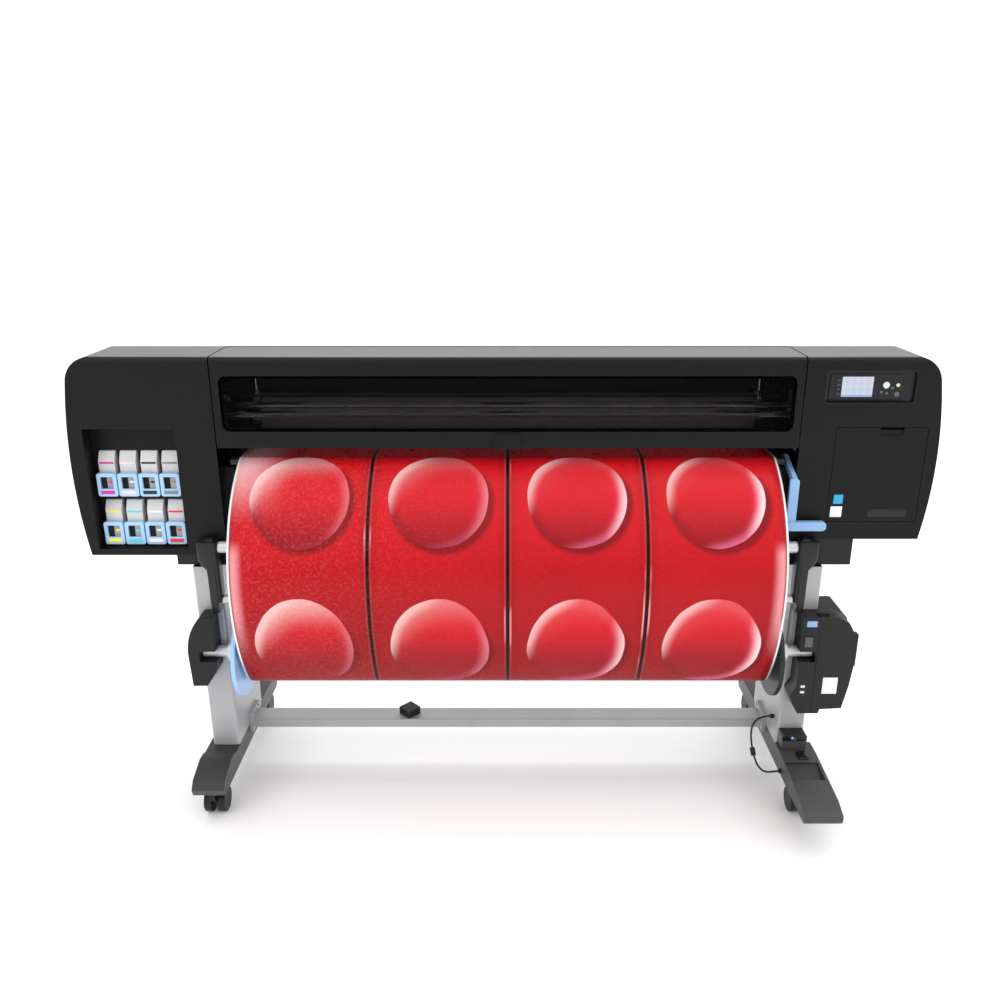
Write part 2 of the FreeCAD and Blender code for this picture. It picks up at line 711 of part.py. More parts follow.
# The front panel: a sunk tray with a raised bezel, the screen, and the keys in their holes.
panel_skin = size("panel_skin", 3)
bezel_wide = size("bezel_wide", 194)
bezel_tall = size("bezel_tall", 70)
bezel_shift = size("bezel_shift", 15)
panel_floor = front + panel_sink
bezel_face = panel_floor - 4
bezel_middle = panel_middle - bezel_shift
panel_form = slab("panel_form", "y", (front, panel_floor + panel_skin), rounded(panel, panel_span, 12))
panel_room = slab("panel_room", "y", (front - 1, panel_floor), rounded(
    (panel[0] + 2, panel[1] - 2), (panel_span[0] + 2, panel_span[1] - 2), 10))
bezel_form = slab("bezel_form", "y", (bezel_face, panel_floor), rounded(
    about(bezel_middle, bezel_wide), about(panel_height, bezel_tall), 6))
screen_middle = bezel_middle - 21
screen_form = slab("screen_form", "y", (bezel_face + 1, panel_floor + 1), rounded(
    about(screen_middle, screen_wide), about(panel_height, screen_tall), 2))
screen_room = slab("screen_room", "y", (bezel_face - 1, panel_floor + 1), rounded(
    about(screen_middle, screen_wide), about(panel_height, screen_tall), 2))
key_face = bezel_face - 2.5
key_rear = panel_floor - 1
key_gap = size("key_gap", 0.3)
short_wide = size("short_wide", 9)
short_tall = size("short_tall", 6)
short_step = size("short_step", 12.5)
short_places = [(bezel_middle - 74, panel_height + short_step * (1.5 - i)) for i in range(4)]
round_keys = [  # place along X and Z from the bezel's middle, and diameter
    (57, 5, 18), (45, -14, 8), (60, -17, 8), (74, -3.5, 8), (89, 5, 10),
]
power_place = (bezel_middle + 88, panel_height - 20)
power_round = size("power_round", 14)


def key_box(name, place, grow, reach):
    """A shortcut key, or its hole when grown."""
    x, z = place
    return box(name, about(x, short_wide + grow * 2), reach, about(z, short_tall + grow * 2))


def key_disc(name, place, diameter, grow, reach):
    """A round key, or its hole when grown."""
    x, z = place
    return rod(name, "y", reach, x, z, length(diameter) + grow * 2)


hole_reach = (bezel_face - 1, panel_floor + panel_skin - 1)
key_reach = (key_face, key_rear)
disc_places = [((bezel_middle + x, panel_height + z), d) for x, z, d in round_keys]
holes = [key_box(f"short_hole_{i}", place, key_gap, hole_reach) for i, place in enumerate(short_places)]
for i, (place, diameter) in enumerate(disc_places):
    holes.append(key_disc(f"key_hole_{i}", place, diameter, key_gap, hole_reach))
holes.append(key_disc("power_hole", power_place, power_round, key_gap, hole_reach))
panel_joined = fuse("panel_joined", cut("panel_tray", panel_form, panel_room), bezel_form)
node("panel_bezel", cut("panel_cut_out", panel_joined, screen_room, *holes))
node("display_screen", screen_form)
node("shortcut_keys", fuse("shortcut_set", *[
    key_box(f"short_key_{i}", place, length(0), key_reach) for i, place in enumerate(short_places)]))
node("menu_keys", fuse("menu_set", *[
    key_disc(f"menu_key_{i}", place, d, length(0), key_reach) for i, (place, d) in enumerate(disc_places)]))
node("power_key", key_disc("power_disc", power_place, power_round, length(0), key_reach))

# The service door drops down on its lower edge; a notch in its top edge is the pull.
door_gap = size("door_gap", 1.5)
door_form = slab("door_form", "y", (front, front + door_thick), rounded(
    (door[0] + door_gap, door[1] - door_gap), (door_span[0] + door_gap, door_span[1] - door_gap), 5))
door_notch = slab("door_notch", "y", (front - 1, front + door_thick + 1), rounded(
    about((door[0] + door[1]) / 2 + 27, 66), (door_span[1] - 24, door_span[1] + 10), 8))
door_cup = slab("door_cup", "y", (front + door_thick, front + door_thick + 16), rounded(
    about((door[0] + door[1]) / 2 + 27, 74), (door_span[1] - 30, door_span[1] - 8), 8))
node("service_door", fuse("door_joined", cut("door_cut_out", door_form, door_notch), door_cup))

# The media lever: an arm on its stud, a bar that hangs in front and a handle at its foot.
lever_front = size("lever_front", 96)
lever_low = size("lever_low", 879)
lever_reach = size("lever_reach", 92)
lever_arm = slab("lever_arm", "x", (window_right - 13, window_right - 1), [
    (-lever_front, lever_high - 52), (lever_back - 4, lever_high - 12), (lever_back + 12, lever_high - 6),
    (lever_back + 12, lever_high + 8), (lever_back - 4, lever_high + 12), (-lever_front, lever_high - 30),
])
lever_bore = rod("lever_bore", "x", (window_right - 14, window_right + 1), lever_back, lever_high,
                 lever_pin + running_gap * 2)
lever_bar = slab("lever_bar", "y", (-lever_front, 12 - lever_front),
                 rounded((window_right - 21, window_right + 5), (lever_low, lever_high - 30), 9))
lever_grip = slab("lever_grip", "y", (-lever_front - 4, 12 - lever_front),
                  rounded((window_right - 21, window_right + lever_reach), (lever_low, lever_low + 26), 10))
node("media_lever", fuse("lever_joined", cut("lever_bored", lever_arm, lever_bore), lever_bar, lever_grip))

# The stand: two posts, a crossbar between them and a long foot under each.
post_near = leg_gap / 2
post_far = post_near + leg_wide
post_reach = (-leg_front, leg_deep - leg_front)
post_wall = size("post_wall", 3)


def stand_post(side):
    """A folded-steel post, open at both ends."""
    outer = slab(f"post_outer_{side + 1}", "z", (leg_low, base_low),
                 rounded(across(side, post_near, post_far), post_reach, 8))
    room = slab(f"post_room_{side + 1}", "z", (leg_low - 1, base_low + 1), rounded(
        across(side, post_near + post_wall, post_far - post_wall),
        (post_reach[0] + post_wall, post_reach[1] - post_wall), 5))
    return cut(f"post_{side + 1}", outer, room)


node("legs", fuse("leg_pair", stand_post(-1), stand_post(1)))
bar_reach = (bar_front, bar_front + bar_deep)
bar_span = (middle - post_near, middle + post_near)
bar_caps = [
    box(f"bar_cap_{side + 1}", across(side, post_near - 12, post_near),
        (bar_front - 8, bar_front + bar_deep + 8), (bar_low - 10, bar_low + bar_tall + 24))
    for side in (-1, 1)
]
bar_wall = size("bar_wall", 2.5)
bar_form = cut(
    "bar_form",
    slab("bar_outer", "x", bar_span, rounded(bar_reach, (bar_low, bar_low + bar_tall), 5)),
    slab("bar_room", "x", (bar_span[0] + 20, bar_span[1] - 20), rounded(
        (bar_reach[0] + bar_wall, bar_reach[1] - bar_wall), (bar_low - 1, bar_low + bar_tall - bar_wall), 1)),
)
relay_left = size("relay_left", 309)
relay_wide = size("relay_wide", 48)
relay = doc.addObject("Part::Box", "relay_box")
for side_name in ("Length", "Width"):
    bind(relay, side_name, relay_wide)
bind(relay, "Height", length(26))
half_turn = relay_wide * 0.70711
move(relay, -relay_left, bar_front + bar_deep / 2 - half_turn, bar_low + bar_tall - 1, turn=((0, 0, 1), 45))
node("crossbar", fuse("bar_joined", bar_form, relay, *bar_caps))

foot_near = post_near
foot_far = foot_near + foot_wide
foot_back = foot_deep - foot_front
foot_top = foot_low + foot_tall
stem_bore = stem_round + running_gap * 2
caster_line = (foot_near + foot_far) / 2
caster_places = [(side, y) for side in (-1, 1) for y in (-front_caster, rear_caster)]
feet = [
    slab(f"foot_{side + 1}", "x", across(side, foot_near, foot_far), [
        (8 - foot_front, foot_low), (foot_back - 8, foot_low), (foot_back, foot_low + 12),
        (foot_back, foot_top - 24), (foot_back - 40, foot_top - 8), (leg_deep - leg_front + 30, foot_top),
        (-leg_front - 40, foot_top), (-leg_front - 60, foot_top + 8), (-leg_front - 92, foot_top + 8),
        (20 - foot_front, foot_top - 14), (-foot_front, foot_low + 22),
    ])
    for side in (-1, 1)
]
stem_holes = [
    rod(f"stem_hole_{i}", "z", (foot_low - 1, foot_low + 32), middle + caster_line * side, y, stem_bore)
    for i, (side, y) in enumerate(caster_places)
]
node("feet", cut("feet_bored", fuse("foot_pair", *feet), *stem_holes))

cover_deep = size("cover_deep", 314)
cover_low = size("cover_low", 104)
cover_skin = size("cover_skin", 4)
cover_rear = cover_deep - cover_front
cover_span = across(1, foot_near - cover_skin, foot_far + cover_skin + 6)
cover_form = slab("foot_cover_form", "x", cover_span, [
    (6 - cover_front, cover_low), (cover_rear, cover_low), (cover_rear, foot_top + 12),
    (cover_rear - 60, foot_top + 12), (50 - cover_front, foot_low + 53),
    (-cover_front, foot_low + 36), (-cover_front, cover_low + 8),
])
cover_room = box("cover_room", across(1, foot_near, foot_far), (-foot_front, cover_rear + 1),
                 (cover_low - 1, foot_top + 8))
cover_nose = box("cover_nose", across(1, foot_near, foot_far),
                 (cover_skin * 2 - cover_front, -foot_front + 1), (cover_low - 1, foot_low + 32))
node("foot_cover", cut("foot_cover_cut", cover_form, cover_room, cover_nose))

# Twin-wheel casters: a swivelling hood on a stem, and two wheels on one axle behind it.
axle_round = size("axle_round", 8)
hood_wide = size("hood_wide", 16)
hood_round = size("hood_round", 52)
wheel_gap = size("wheel_gap", 1.5)
wheel_high = wheel_round / 2
caster_names = ("front_left", "rear_left", "front_right", "rear_right")
for corner, (side, y) in zip(caster_names, caster_places):
    x = middle + caster_line * side
    axle_back = length(y) + fork_trail
    hood = slab(f"hood_{corner}", "x", about(x, hood_wide), [
        (axle_back - 12, wheel_high - 12), (axle_back + 12, wheel_high - 12),
        (axle_back + 30, wheel_high + 20), (length(y) + 20, caster_tall - 12),
        (length(y) - 26, caster_tall - 12), (length(y) - 26, wheel_high + 30),
    ])
    plate = rod(f"plate_{corner}", "z", (caster_tall - 16, caster_tall - 3), x, y, hood_round)
    stem = rod(f"stem_{corner}", "z", (caster_tall - 3, caster_tall + 30), x, y, stem_round)
    axle_hole = rod(f"axle_hole_{corner}", "x", about(x, hood_wide + 2), axle_back, wheel_high,
                    axle_round + running_gap * 2)
    fork = fuse(f"fork_form_{corner}", hood, plate, stem)
    node(f"caster_fork_{corner}", cut(f"fork_{corner}", fork, axle_hole))
    wheel_middle = hood_wide / 2 + wheel_gap + wheel_wide / 2
    discs = [
        rod(f"disc_{corner}_{way + 1}", "x", about(x + wheel_middle * way, wheel_wide), axle_back, wheel_high,
            wheel_round)
        for way in (-1, 1)
    ]
    axle = rod(f"axle_{corner}", "x", about(x, hood_wide + wheel_gap * 2), axle_back, wheel_high, axle_round)
    node(f"caster_wheel_{corner}", fuse(f"wheel_{corner}", axle, *discs))

# The loop guide: a pair of arms on the posts with two bars across.
arm_near = post_near + 4
arm_low = size("arm_low", 625)
arms = [
    slab(f"arm_{side + 1}", "x", across(side, arm_near, arm_near + arm_wide), [
        (-loop_bar_front - 24, loop_bar_height - 12),
        (-loop_bar_front - 12, loop_bar_height + 26, -loop_bar_front, loop_bar_height + 29),
        (-loop_bar_front + 12, loop_bar_height + 26), (-leg_front, loop_bar_height), (-leg_front, arm_low),
        (-loop_bar_front - 14, arm_low), (-loop_bar_front - 20, low_bar_height),
    ])
    for side in (-1, 1)
]
low_bar_round = size("low_bar_round", 26)
loop_bar_half = arm_near + 46
guide_bars = [
    rod("loop_bar", "x", about(middle, loop_bar_half * 2), -loop_bar_front, loop_bar_height, bar_round),
    rod("low_bar", "x", about(middle, arm_near * 2), -low_bar_front, low_bar_height, low_bar_round),
]
node("loop_guide", fuse("guide_joined", *arms, *guide_bars))

# The take-up: an idle support, a motor housing, and the reel that turns between them.
spindle_hole = spindle_round + running_gap * 2
support_near = size("support_near", 859)
support_far = size("support_far", 940)
support_low = size("support_low", 399)
support_high = size("support_high", 623)
support_front = size("support_front", 136)
socket_near = support_near - 1
socket_far = size("socket_far", 906)


def spindle_socket(name, side):
    """The bearing of the take-up bar, open to the front so that the bar lifts out."""
    reach = across(side, socket_near, socket_far)
    hole = rod(f"{name}_hole", "x", reach, -spindle_front, spindle_height, spindle_hole)
    mouth = box(f"{name}_mouth", reach, (-support_front - 30, -spindle_front), about(spindle_height, spindle_hole))
    return fuse(name, hole, mouth)


idle_across = across(-1, support_near, support_far)
idle_form = slab("idle_form", "y", (-support_front, -leg_front), [
    (idle_across[0] + 4, support_low), (idle_across[1] - 34, support_low),
    (idle_across[1], support_low + 52), (idle_across[1], support_high),
    (idle_across[0] + 44, support_high, idle_across[0] + 12, support_high - 52),
    (idle_across[0], support_high - 130),
])
node("takeup_idle_support", cut("idle_cut", idle_form, spindle_socket("idle_socket", -1)))

motor_far = size("motor_far", 1023)
motor_low = size("motor_low", 306)
motor_back = size("motor_back", 60)
motor_across = across(1, support_near, motor_far)
motor_front_form = slab("motor_front_form", "y", (-support_front, -leg_front), [
    (motor_across[0] + 12, motor_low), (motor_across[0] + 74, motor_low),
    (motor_across[0] + 78, motor_low + 14),
    (motor_across[1] - 22, motor_low + 18), (motor_across[1] - 8, support_low),
    (motor_across[1], support_low + 78, motor_across[1] - 4, support_high - 72),
    (motor_across[1] - 30, support_high - 16), (motor_across[1] - 62, support_high),
    (motor_across[0], support_high), (motor_across[0], support_low), (motor_across[0] - 16, support_low - 34),
])
motor_box = slab("motor_box", "y", (-leg_front, motor_back), rounded(
    (middle + post_far + 2, motor_across[1] - 14), (motor_low + 30, support_high - 20), 14))
rocker_middle = middle + support_near - 34 + 60
rocker_high = size("rocker_high", 604)
rocker_hole = box("rocker_hole", about(rocker_middle, 31), (-support_front - 1, 14 - support_front),
                  about(rocker_high, 21))
rocker_pin = rod("rocker_pin", "x", about(rocker_middle, 32), 7 - support_front, rocker_high, 3)
motor_sides = [
    box("speed_switch", about(rocker_middle + 28, 14), (-support_front + 20, -support_front + 34),
        (support_high - 3, support_high + 4)),
    box("mode_switch", about(rocker_middle + 48, 14), (-support_front + 20, -support_front + 34),
        (support_high - 8, support_high + 3)),
    box("side_lever", (motor_across[1] - 3, motor_across[1] + 7), (-support_front + 12, -support_front + 34),
        (support_low + 60, support_high - 60)),
]
motor_cut = cut("motor_cut", fuse("motor_joined", motor_front_form, motor_box, *motor_sides),
                spindle_socket("motor_socket", 1), rocker_hole)
node("takeup_motor_housing", fuse("motor_with_pin", motor_cut, rocker_pin))
rocker_form = slab("rocker_form", "x", about(rocker_middle, 30), [
    (-support_front - 2, rocker_high - 9), (11 - support_front, rocker_high - 9),
    (11 - support_front, rocker_high + 9), (-support_front - 2, rocker_high + 9),
    (-support_front + 1, rocker_high),
])
node("takeup_rocker", cut("rocker_cut", rocker_form, rod(
    "rocker_bore", "x", about(rocker_middle, 32), 7 - support_front, rocker_high, 3 + running_gap * 2)))

reel_reach = (middle - socket_far + 2, middle + socket_far - 2)
flange_near = media_wide / 2 + 14
reel_parts = [rod("reel_bar", "x", reel_reach, -spindle_front, spindle_height, spindle_round)]
for side in (-1, 1):
    reel_parts.append(rod(f"flange_{side + 1}", "x", across(side, flange_near, flange_near + 12),
                          -spindle_front, spindle_height, flange_round))
    reel_parts.append(rod(f"collar_{side + 1}", "x", across(side, flange_near + 12, flange_near + 52),
                          -spindle_front, spindle_height, 60))
node("takeup_spindle", fuse("reel_joined", *reel_parts))
roll_form = rod("roll_form", "x", about(middle, media_wide), -spindle_front, spindle_height, roll_round)
roll_bore = rod("roll_bore", "x", about(middle, media_wide + 2), -spindle_front, spindle_height, spindle_round)
node("takeup_roll", cut("roll_cut", roll_form, roll_bore))

# The printed web: from the supply roll over the platen's nose, down in a loop, and round the roll.
loop_front = size("loop_front", 255)
loop_height = size("loop_height", 737)


def tangent_radius(ahead, above, round_radius):
    """The radius of an arc that is upright at one end and runs onto a circle at the other."""
    return (ahead ** 2 + above ** 2 - round_radius ** 2) / (2 * (ahead - round_radius))


def media_path(grow):
    """The edges of the web's inner side, or of its outer side when grown by its thickness."""
    level = (bed_height + media_gap).value
    nose = Vector(0, (10 - platen_front).value, bed_height.value - 10)
    hub = Vector(0, -spindle_front.value, spindle_height.value)
    front_point = Vector(0, -loop_front.value, loop_height.value)
    nose_radius, hub_radius = 10 + media_gap.value, roll_round.value / 2 + media_gap.value
    high = tangent_radius(nose.y - front_point.y, nose.z - front_point.z, nose_radius)
    low = tangent_radius(hub.y - front_point.y, front_point.z - hub.z, hub_radius)
    high_middle = front_point + Vector(0, high, 0)
    low_middle = front_point + Vector(0, low, 0)
    over = (nose - high_middle).normalize()
    under = (hub - low_middle).normalize()
    supply_low = supply_height.value - supply_round.value / 2 - media_gap.value - media_thick.value
    start = Vector(0, supply_back.value, supply_low + grow)
    knee = Vector(0, feed_back.value, level + grow)

    def arc(centre, radius, first, last):
        mean = (first + last).normalize()
        ends = [centre + way * (radius + grow) for way in (first, mean, last)]
        return Part.Arc(*ends).toShape()

    up, ahead, down = Vector(0, 0, 1), Vector(0, -1, 0), Vector(0, 0.5, -0.866).normalize()
    crest = nose + up * (nose_radius + grow)
    return [
        Part.LineSegment(start, knee).toShape(), Part.LineSegment(knee, crest).toShape(),
        arc(nose, nose_radius, up, over), arc(high_middle, high, over, ahead),
        arc(low_middle, low, ahead, under), arc(hub, hub_radius, under, down),
    ]


def media_web():
    """The web as a thin sheet between its inner and outer sides, across the media's width."""
    inner, outer = Part.Wire(media_path(0)), Part.Wire(media_path(media_thick.value))
    first = [side.OrderedVertexes[0].Point for side in (inner, outer)]
    last = [side.OrderedVertexes[-1].Point for side in (inner, outer)]
    caps = [Part.LineSegment(*pair).toShape() for pair in (first, last)]
    edges = Part.__sortEdges__(inner.Edges + outer.Edges + caps)
    return Part.Face(Part.Wire(edges)).extrude(Vector(media_wide.value, 0, 0))


web = doc.addObject("Part::Feature", "media_web_sheet")
web.Shape = media_web()
move(web, middle - media_wide / 2, length(0), length(0))
node("media_web", web)

# The loop sensor at the right post's foot, and the lead that runs to it from the post.
sensor_low, sensor_high = foot_top + 12, foot_top + 62
sensor_block = slab("sensor_block", "y", (-leg_front - 44, -leg_front), rounded(
    across(1, post_near + 3, post_near + 79), (sensor_low, sensor_high), 5))
sensor_eye = rod("sensor_eye", "y", (-leg_front - 47, -leg_front - 44), middle + post_near + 42,
                 sensor_high - 12, 12)
lead_round = size("lead_round", 6)
gland_long = size("gland_long", 12)
post_inner = middle + post_near
gland_from = post_inner - gland_long
LEAD_ROUTE = [
    (838, -30, 230), (806, -31, 229), (783, -36, 204), (779, -44, 171), (781, -58, 141),
    (785, -78, 114), (792, -104, 97), (802, -134, 98), (818, -151, 109), (838, -158, 118),
]
glands = [
    rod(f"gland_{i}", "x", (gland_from, face), length(end[1]), end[2], 14)
    for i, (end, face) in enumerate(((LEAD_ROUTE[0], post_inner), (LEAD_ROUTE[-1], cover_span[0])))
]
node("loop_sensor", fuse("sensor_set", sensor_block, sensor_eye, *glands))


def tube(route, diameter):
    """A lead along straight runs that are joined by tangent arcs; prints each arc's radius."""
    points = [Vector(*place) for place in route]
    edges, start = [], points[0]
    for before, corner, after in zip(points, points[1:], points[2:]):
        back_way, ahead_way = before - corner, after - corner
        trim = 0.45 * min(back_way.Length, ahead_way.Length)
        half = (math.pi - back_way.getAngle(ahead_way)) / 2
        back_way, ahead_way = back_way.normalize(), ahead_way.normalize()
        inside = (back_way + ahead_way).normalize()
        radius = trim / math.tan(half)
        print(f"lead arc radius {radius:.1f}")
        enter, leave = corner + back_way * trim, corner + ahead_way * trim
        centre = corner + inside * (trim / math.sin(half))
        edges.append(Part.LineSegment(start, enter).toShape())
        edges.append(Part.Arc(enter, centre - inside * radius, leave).toShape())
        start = leave
    edges.append(Part.LineSegment(start, points[-1]).toShape())
    path = Part.Wire(edges)
    disc = Part.Wire(Part.Circle(points[0], points[1] - points[0], diameter / 2).toShape())
    solid = path.makePipeShell([disc], True, False)
    print(f"lead volume {solid.Volume:.0f}, length {path.Length:.0f}")
    return solid


lead = doc.addObject("Part::Feature", "sensor_lead")
lead.Shape = tube(LEAD_ROUTE, lead_round.value)
node("sensor_cable", lead)
ferrite_long = size("ferrite_long", 26)
ferrite_round = size("ferrite_round", 16)
run_start, run_end = Vector(*LEAD_ROUTE[4]), Vector(*LEAD_ROUTE[5])
run_way = (run_end - run_start).normalize()
ferrite_from = (run_start + run_end) * 0.5 - run_way * (ferrite_long.value / 2)
ferrite = doc.addObject("Part::Feature", "ferrite_sleeve")
ferrite.Shape = Part.makeCylinder(ferrite_round.value / 2, ferrite_long.value, ferrite_from, run_way)
node("ferrite_core", ferrite)

# Screws: through the crossbar's caps, along the rear cover's edges, and in the posts' backs.
screw_head = size("screw_head", 4)
screw_places = []
for side in (-1, 1):
    reach = across(side, post_near - 12 - screw_head, post_near - 12)
    for y in (bar_front, bar_front + bar_deep):
        screw_places.append(rod(f"screw_{len(screw_places)}", "x", reach, y, bar_low + bar_tall + 12, 10))
for column in range(-2, 3):
    for z in (rear_low + 20, body_top - rear_drop - 24):
        screw_places.append(rod(f"screw_{len(screw_places)}", "y", (back, back + screw_head),
                                middle + 380 * column, z, 10))
for side in (-1, 1):
    reach = across(side, post_far, post_far + screw_head)
    for y in (length(120), length(170)):
        screw_places.append(rod(f"screw_{len(screw_places)}", "x", reach, y, foot_top + 40, 14))
node("fasteners", fuse("screw_set", *screw_places))

# Every object has to be sound before any file is written.
doc.recompute()
for thing in doc.Objects:
    if "Invalid" in thing.State or "Error" in thing.State:
        raise RuntimeError(f"{thing.Name} failed: {thing.State}")
os.makedirs("parts", exist_ok=True)
for thing in nodes:
    if thing.Shape.isNull() or not thing.Shape.isValid() or not thing.Shape.Solids:
        raise RuntimeError(f"{thing.Label} has no sound shape")
for thing in nodes:
    thing.Shape.exportStep(f"parts/{thing.Label}.step")
print(f"{len(nodes)} sub-parts written")
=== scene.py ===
import json
import math

import bmesh
import bpy
import numpy as np
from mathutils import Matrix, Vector


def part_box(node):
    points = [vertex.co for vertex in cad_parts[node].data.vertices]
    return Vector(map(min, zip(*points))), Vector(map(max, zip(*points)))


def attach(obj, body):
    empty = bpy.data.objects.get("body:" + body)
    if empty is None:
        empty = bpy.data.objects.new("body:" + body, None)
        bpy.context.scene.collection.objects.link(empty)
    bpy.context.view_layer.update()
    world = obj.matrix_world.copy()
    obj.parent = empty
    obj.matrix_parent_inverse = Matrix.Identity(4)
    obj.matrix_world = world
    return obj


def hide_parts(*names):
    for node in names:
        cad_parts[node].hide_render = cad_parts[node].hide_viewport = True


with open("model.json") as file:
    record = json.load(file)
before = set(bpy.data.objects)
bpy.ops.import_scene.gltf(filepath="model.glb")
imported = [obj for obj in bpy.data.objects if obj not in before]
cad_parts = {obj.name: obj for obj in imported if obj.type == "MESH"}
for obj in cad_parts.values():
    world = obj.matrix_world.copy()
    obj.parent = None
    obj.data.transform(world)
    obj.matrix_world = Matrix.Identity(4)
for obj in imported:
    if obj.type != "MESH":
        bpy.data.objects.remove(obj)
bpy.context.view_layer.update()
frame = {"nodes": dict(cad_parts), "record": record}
nodes = frame["nodes"]

# ---------------------------------------------------------------- viewpoint, floor and light
# The machine stands on a pale studio floor that runs up to the horizon. The viewpoint is a little
# above the machine's top and looks down on it; three large soft lights come from above and ahead.
MIDDLE = 0.012
EYE_AHEAD, EYE_HIGH, LOOKS_DOWN = 2.494, 1.7874, 18.8
eye = bpy.data.objects.new("camera", bpy.data.cameras.new("camera"))
bpy.context.collection.objects.link(eye)
eye.location = (MIDDLE, -EYE_AHEAD, EYE_HIGH)
eye.rotation_euler = (math.radians(90 - LOOKS_DOWN), 0, 0)
eye.data.lens = 32.4
eye.data.sensor_width = 36
eye.data.shift_x = -0.0077
eye.data.clip_end = 60
bpy.context.scene.camera = eye


def soft_light(name, place, aim, wide, tall, watts):
    """A rectangular studio light at a place, turned to face a point."""
    lamp = bpy.data.lights.new(name, "AREA")
    lamp.shape, lamp.size, lamp.size_y, lamp.energy = "RECTANGLE", wide, tall, watts
    holder = bpy.data.objects.new(name, lamp)
    holder.location = place
    holder.rotation_euler = (Vector(aim) - Vector(place)).to_track_quat("-Z", "Y").to_euler()
    bpy.context.collection.objects.link(holder)


soft_light("light_over", (0.2, 0.9, 3.4), (0, 0.1, 1.0), 3.6, 1.6, 60)
soft_light("light_left", (-3.2, -2.6, 2.6), (0, 0, 0.8), 1.2, 2.4, 20)
soft_light("light_right", (3.4, -2.4, 2.2), (0, 0, 0.7), 1.0, 2.2, 11)
sky = bpy.data.worlds.new("studio")
bpy.context.scene.world = sky
sky.use_nodes = True
sky_nodes, sky_links = sky.node_tree.nodes, sky.node_tree.links
# The world's light grows from the floor up, and what shows behind the machine is one even white.
LIGHT_RISE, EVEN_WHITE = (-0.1, 0.95, 0.5, 1.75), 1.15
look, height = sky_nodes.new("ShaderNodeTexCoord"), sky_nodes.new("ShaderNodeSeparateXYZ")
fall, seen = sky_nodes.new("ShaderNodeMapRange"), sky_nodes.new("ShaderNodeLightPath")
pick = sky_nodes.new("ShaderNodeMix")
sky_links.new(look.outputs["Generated"], height.inputs[0])
sky_links.new(height.outputs["Z"], fall.inputs["Value"])
for socket, number in zip(("From Min", "From Max", "To Min", "To Max"), LIGHT_RISE):
    fall.inputs[socket].default_value = number
sky_links.new(fall.outputs[0], pick.inputs["A"])
sky_links.new(seen.outputs["Is Camera Ray"], pick.inputs["Factor"])
pick.inputs["B"].default_value = EVEN_WHITE
sky_links.new(pick.outputs["Result"], sky_nodes["Background"].inputs["Strength"])
sky_nodes["Background"].inputs["Color"].default_value = (1, 1, 1, 1)
bpy.context.scene.view_settings.view_transform = "Standard"

floor_mesh = bpy.data.meshes.new("floor")
floor_mesh.from_pydata([(-14, -8, 0), (14, -8, 0), (14, 26, 0), (-14, 26, 0)], [], [(0, 1, 2, 3)])
floor = bpy.data.objects.new("floor", floor_mesh)
bpy.context.collection.objects.link(floor)
floor_paint = bpy.data.materials.new("floor_paint")
floor_paint.use_nodes = True
floor_paint.node_tree.nodes["Principled BSDF"].inputs["Base Color"].default_value = (0.94, 0.94, 0.94, 1)
floor_paint.node_tree.nodes["Principled BSDF"].inputs["Roughness"].default_value = 0.6
floor_mesh.materials.append(floor_paint)


# ---------------------------------------------------------------- loop sensor lead
# A 6 mm black PVC lead joins the loop sensor's block on the post to the foot cover. Both ends go
# into nylon glands, and it hangs in one loose bow with a two-part ferrite sleeve clipped on it.
def group_of(name, inputs, outputs):
    """An empty shader node group with named value, colour or vector sockets."""
    group = bpy.data.node_groups.new(name, "ShaderNodeTree")
    for way, sockets in (("INPUT", inputs), ("OUTPUT", outputs)):
        for title, kind, start in sockets:
            socket = group.interface.new_socket(title, in_out=way, socket_type=f"NodeSocket{kind}")
            if start is not None:
                socket.default_value = start
    return group, group.nodes.new("NodeGroupInput"), group.nodes.new("NodeGroupOutput")


def grain_group():
    """Noise on object coordinates, as a bump for the normal and as a slow and a fine mask."""
    group, start, end = group_of(
        "surface_grain",
        [("Scale", "Float", 900.0), ("Depth", "Float", 0.1), ("Stretch", "Vector", (1, 1, 1))],
        [("Normal", "Vector", None), ("Fine", "Float", None), ("Slow", "Float", None)])
    add, link = group.nodes.new, group.links.new
    place, scaled = add("ShaderNodeTexCoord"), add("ShaderNodeVectorMath")
    fine, slow, bump = add("ShaderNodeTexNoise"), add("ShaderNodeTexNoise"), add("ShaderNodeBump")
    scaled.operation = "MULTIPLY"
    link(place.outputs["Object"], scaled.inputs[0])
    link(start.outputs["Stretch"], scaled.inputs[1])
    link(scaled.outputs[0], fine.inputs["Vector"])
    link(start.outputs["Scale"], fine.inputs["Scale"])
    fine.inputs["Detail"].default_value = 3
    link(place.outputs["Object"], slow.inputs["Vector"])
    slow.inputs["Scale"].default_value = 7
    slow.inputs["Detail"].default_value = 4
    bump.inputs["Distance"].default_value = 0.0006
    link(start.outputs["Depth"], bump.inputs["Strength"])
    link(fine.outputs["Fac"], bump.inputs["Height"])
    link(bump.outputs["Normal"], end.inputs["Normal"])
    link(fine.outputs["Fac"], end.inputs["Fine"])
    link(slow.outputs["Fac"], end.inputs["Slow"])
    return group


